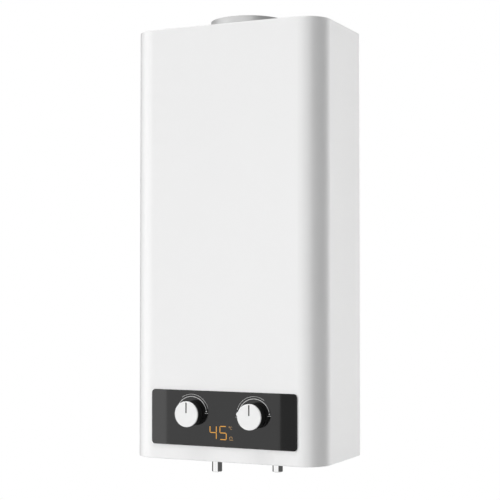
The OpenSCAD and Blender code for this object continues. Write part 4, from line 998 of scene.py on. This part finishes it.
# %% Set the ribs on the battery door
LID_RIBS = 6
LID_RIB_PITCH = 4 * MM
LID_RIB_FROM_EDGE = 11 * MM
lid_low, lid_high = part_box("battery_lid")
lid_rib = half_round_rib("lid_rib", length=20, width=1.8, height=0.7)
row = row_tree(lid_rib, grey_plastic)
rib_mesh = grown("lid_ribs", row, {"Count": LID_RIBS, "Pitch": LID_RIB_PITCH})
bpy.data.objects.remove(lid_rib)
face_down = Matrix.Rotation(math.pi, 4, "Y")
first_rib = ((lid_low.x + lid_high.x) / 2, lid_low.y + LID_RIB_FROM_EDGE, lid_low.z)
rib_mesh.transform(Matrix.Translation(first_rib) @ face_down)
lid_ribs = mesh_object("battery_door_ribs", rib_mesh)
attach(lid_ribs, "battery_door")
print(LID_RIBS, "ribs on the battery door")

# %% [markdown]
# The ridges sink a little into the round rim of the plug, so that no gap shows under them.

# %% Set the ridges around the drain plug
PLUG_RIDGES = 24
PLUG_RIM_ABOVE = 5.25 * MM
RIDGE_SINK = 0.03 * MM
plug_low, plug_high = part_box("drain_plug")
plug_radius = (plug_high.x - plug_low.x) / 2
plug_middle = (plug_low + plug_high) / 2
plug_ridge = half_round_rib("plug_ridge", length=3.1, width=1.1, height=0.5)
ring = ring_tree(plug_ridge, grey_plastic)
ridge_mesh = grown("plug_ridges", ring, {"Count": PLUG_RIDGES, "Radius": plug_radius - RIDGE_SINK})
bpy.data.objects.remove(plug_ridge)
ridge_mesh.transform(Matrix.Translation((plug_middle.x, plug_middle.y, plug_low.z + PLUG_RIM_ABOVE)))
plug_ridges = mesh_object("drain_plug_ridges", ridge_mesh)
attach(plug_ridges, "drain")
print(PLUG_RIDGES, "ridges on a radius of", round(plug_radius / MM, 2), "mm")

# %% [markdown]
# ## Inside the battery door
# With the door open, the steel ends of two cells show, and on the door the plated strip that joins them.
# One cell end is turned on the lathe and a tree sets it on both cells.
# All of it is thinner than the half millimetre that the closed door leaves free.

# %% Cap the cells
CAP_PROFILE = [(0, 0), (14.8, 0), (14.8, -0.18), (14.3, -0.24), (13.2, -0.1), (6, -0.1),
               (5.2, -0.22), (0, -0.22)]


def turned_on_points(name, profile, points, paint, steps=48, aim=Matrix.Identity(4)):
    """Turns a profile on the lathe, aims it and returns one mesh with a copy on every point."""
    seats = bpy.data.meshes.new(name)
    seats.from_pydata(points, [], [])
    turned = lathe(name + "_blank", profile, steps)
    turned.data.transform(aim)
    tree, given, made = new_tree(name, [])
    finish_tree(tree, copies(tree, turned, given.outputs["Geometry"]), paint, made)
    mesh = grown(name, tree, {}, seats)
    bpy.data.objects.remove(turned)
    return mesh


cells_low, cells_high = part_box("battery_cells")
cell_radius = (cells_high.x - cells_low.x) / 2
cell_x = cells_low.x + cell_radius
cell_ys = (cells_low.y + cell_radius, cells_high.y - cell_radius)
cell_bottoms = [(cell_x, y, cells_low.z) for y in cell_ys]
cap_mesh = turned_on_points("caps", CAP_PROFILE, cell_bottoms, zinc_steel)
cell_ends = mesh_object("cell_ends", cap_mesh)
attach(cell_ends, "casing")
print(len(cell_ys), "cell ends,", len(cap_mesh.polygons), "faces")

# %% [markdown]
# The strip is made as an upright plate, then laid down on the door, with a pad under each cell.

# %% Lay the contact strip on the door
STRIP_WIDTH, STRIP_CORNER, STRIP_THICK = 12, 5, 0.12
PAD_PROFILE = [(0, 0), (4, 0), (3.2, 0.08), (0, 0.1)]
strip_length = (cell_ys[1] - cell_ys[0]) / MM + STRIP_WIDTH
strip_outline = round_rect_points((0, 0), STRIP_WIDTH, strip_length, STRIP_CORNER)
blank = front_plate("strip_blank", [strip_outline], 0, STRIP_THICK)
blank.data.materials.append(zinc_steel.material)
lay_down = Matrix.Rotation(-math.pi / 2, 4, "X")
blank.data.transform(Matrix.Translation((cell_x, sum(cell_ys) / 2, lid_high.z)) @ lay_down)
strip_top = lid_high.z + STRIP_THICK * MM
pad_mesh = turned_on_points("pads", PAD_PROFILE, [(cell_x, y, strip_top) for y in cell_ys], zinc_steel)
door_contact = join_meshes("door_contact", [blank.data, pad_mesh])
bpy.data.objects.remove(blank)
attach(door_contact, "battery_door")
print("contact strip", round(strip_length, 1), "mm long")

# %% [markdown]
# ## Seam of the flue collar
# The collar is a strip of sheet rolled into a ring. Its ends hook into each other in a flat lock seam,
# which lies inside, so that a flue pipe still slides over the outside. It is a bent strip with soft edges.

# %% Fold the seam
FLUE_INSIDE = 54.2
SEAM_WIDTH, SEAM_THICK, SEAM_SOFT = 8, 0.9, 0.3
SEAM_ABOVE_FOOT, SEAM_BELOW_RIM = 1, 0.6
collar_low, collar_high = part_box("flue_collar")
collar_y = (collar_low.y + collar_high.y) / 2 / MM


def bent_strip(name, radius, thickness, width, low, high, steps=8):
    """An upright strip inside a ring around Z, facing the wall side, in millimetres."""
    bm = bmesh.new()
    half_turn = width / radius / 2
    loops = []
    for k in range(steps + 1):
        turn = math.pi / 2 - half_turn + 2 * half_turn * k / steps
        loop = []
        for r, z in [(radius, low), (radius, high), (radius - thickness, high), (radius - thickness, low)]:
            x, y = r * math.cos(turn), collar_y + r * math.sin(turn)
            loop.append(bm.verts.new((x * MM, y * MM, z * MM)))
        loops.append(loop)
    for loop, following in zip(loops, loops[1:]):
        for k in range(4):
            bm.faces.new((loop[k], following[k], following[k - 1], loop[k - 1]))
    bm.faces.new(loops[0])
    bm.faces.new(reversed(loops[-1]))
    strip = take_bmesh(name, bm)
    merge_and_smooth(strip.data)
    return strip


seam = bent_strip("collar_seam", FLUE_INSIDE, SEAM_THICK, SEAM_WIDTH,
                  collar_low.z / MM + SEAM_ABOVE_FOOT, collar_high.z / MM - SEAM_BELOW_RIM)
seam.data.materials.append(flue_sheet.material)
soften = seam.modifiers.new("soften", "BEVEL")
soften.width = SEAM_SOFT * MM
soften.segments = 2
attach(seam, "casing")
print("seam", SEAM_WIDTH, "mm wide inside the collar")

# %% [markdown]
# ## Spot welds on the back
# The brackets that carry the burner and the valves are spot-welded to the back plate.
# Each weld leaves a shallow round mark with a raised rim and a dark tint. One mark is turned on the lathe,
# and a tree sets it on a list of points along the feet of the brackets.

# %% Set the weld marks
WELD_PROFILE = [(0, 0), (2.8, 0), (2.5, 0.08), (2.1, 0.08), (1.8, 0.02), (0, 0.02)]
WELDS_PER_FOOT = 5
FOOT_WIDTH = 16 * MM
weld_tint = Finish("weld_tint", metallic=0.6)
weld_tint.colour(weld_tint.noise(400), 0.24, 0.36)
weld_tint.roughness(weld_tint.noise(300), 0.4, 0.5)


def spread_points(begin, end, count):
    """Points evenly along a line, a half step in from both ends."""
    return [Vector(begin).lerp(Vector(end), (k + 0.5) / count) for k in range(count)]


bracket_low, bracket_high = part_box("side_brackets")
shelf_low, shelf_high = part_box("valve_bracket")
plate_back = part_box("back_plate")[1].y
foot_x = bracket_high.x - FOOT_WIDTH / 2
shelf_foot_z = shelf_low.z + FOOT_WIDTH / 2
feet = [[(side * foot_x, plate_back, z) for z in (bracket_low.z, bracket_high.z)] for side in (-1, 1)]
feet.append([(x, plate_back, shelf_foot_z) for x in (shelf_low.x, shelf_high.x)])
places = [place for begin, end in feet for place in spread_points(begin, end, WELDS_PER_FOOT)]
towards_wall = Matrix.Rotation(-math.pi / 2, 4, "X")
weld_mesh = turned_on_points("welds", WELD_PROFILE, places, weld_tint, steps=24, aim=towards_wall)
weld_marks = mesh_object("weld_marks", weld_mesh)
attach(weld_marks, "casing")
print(len(places), "weld marks on the back plate")
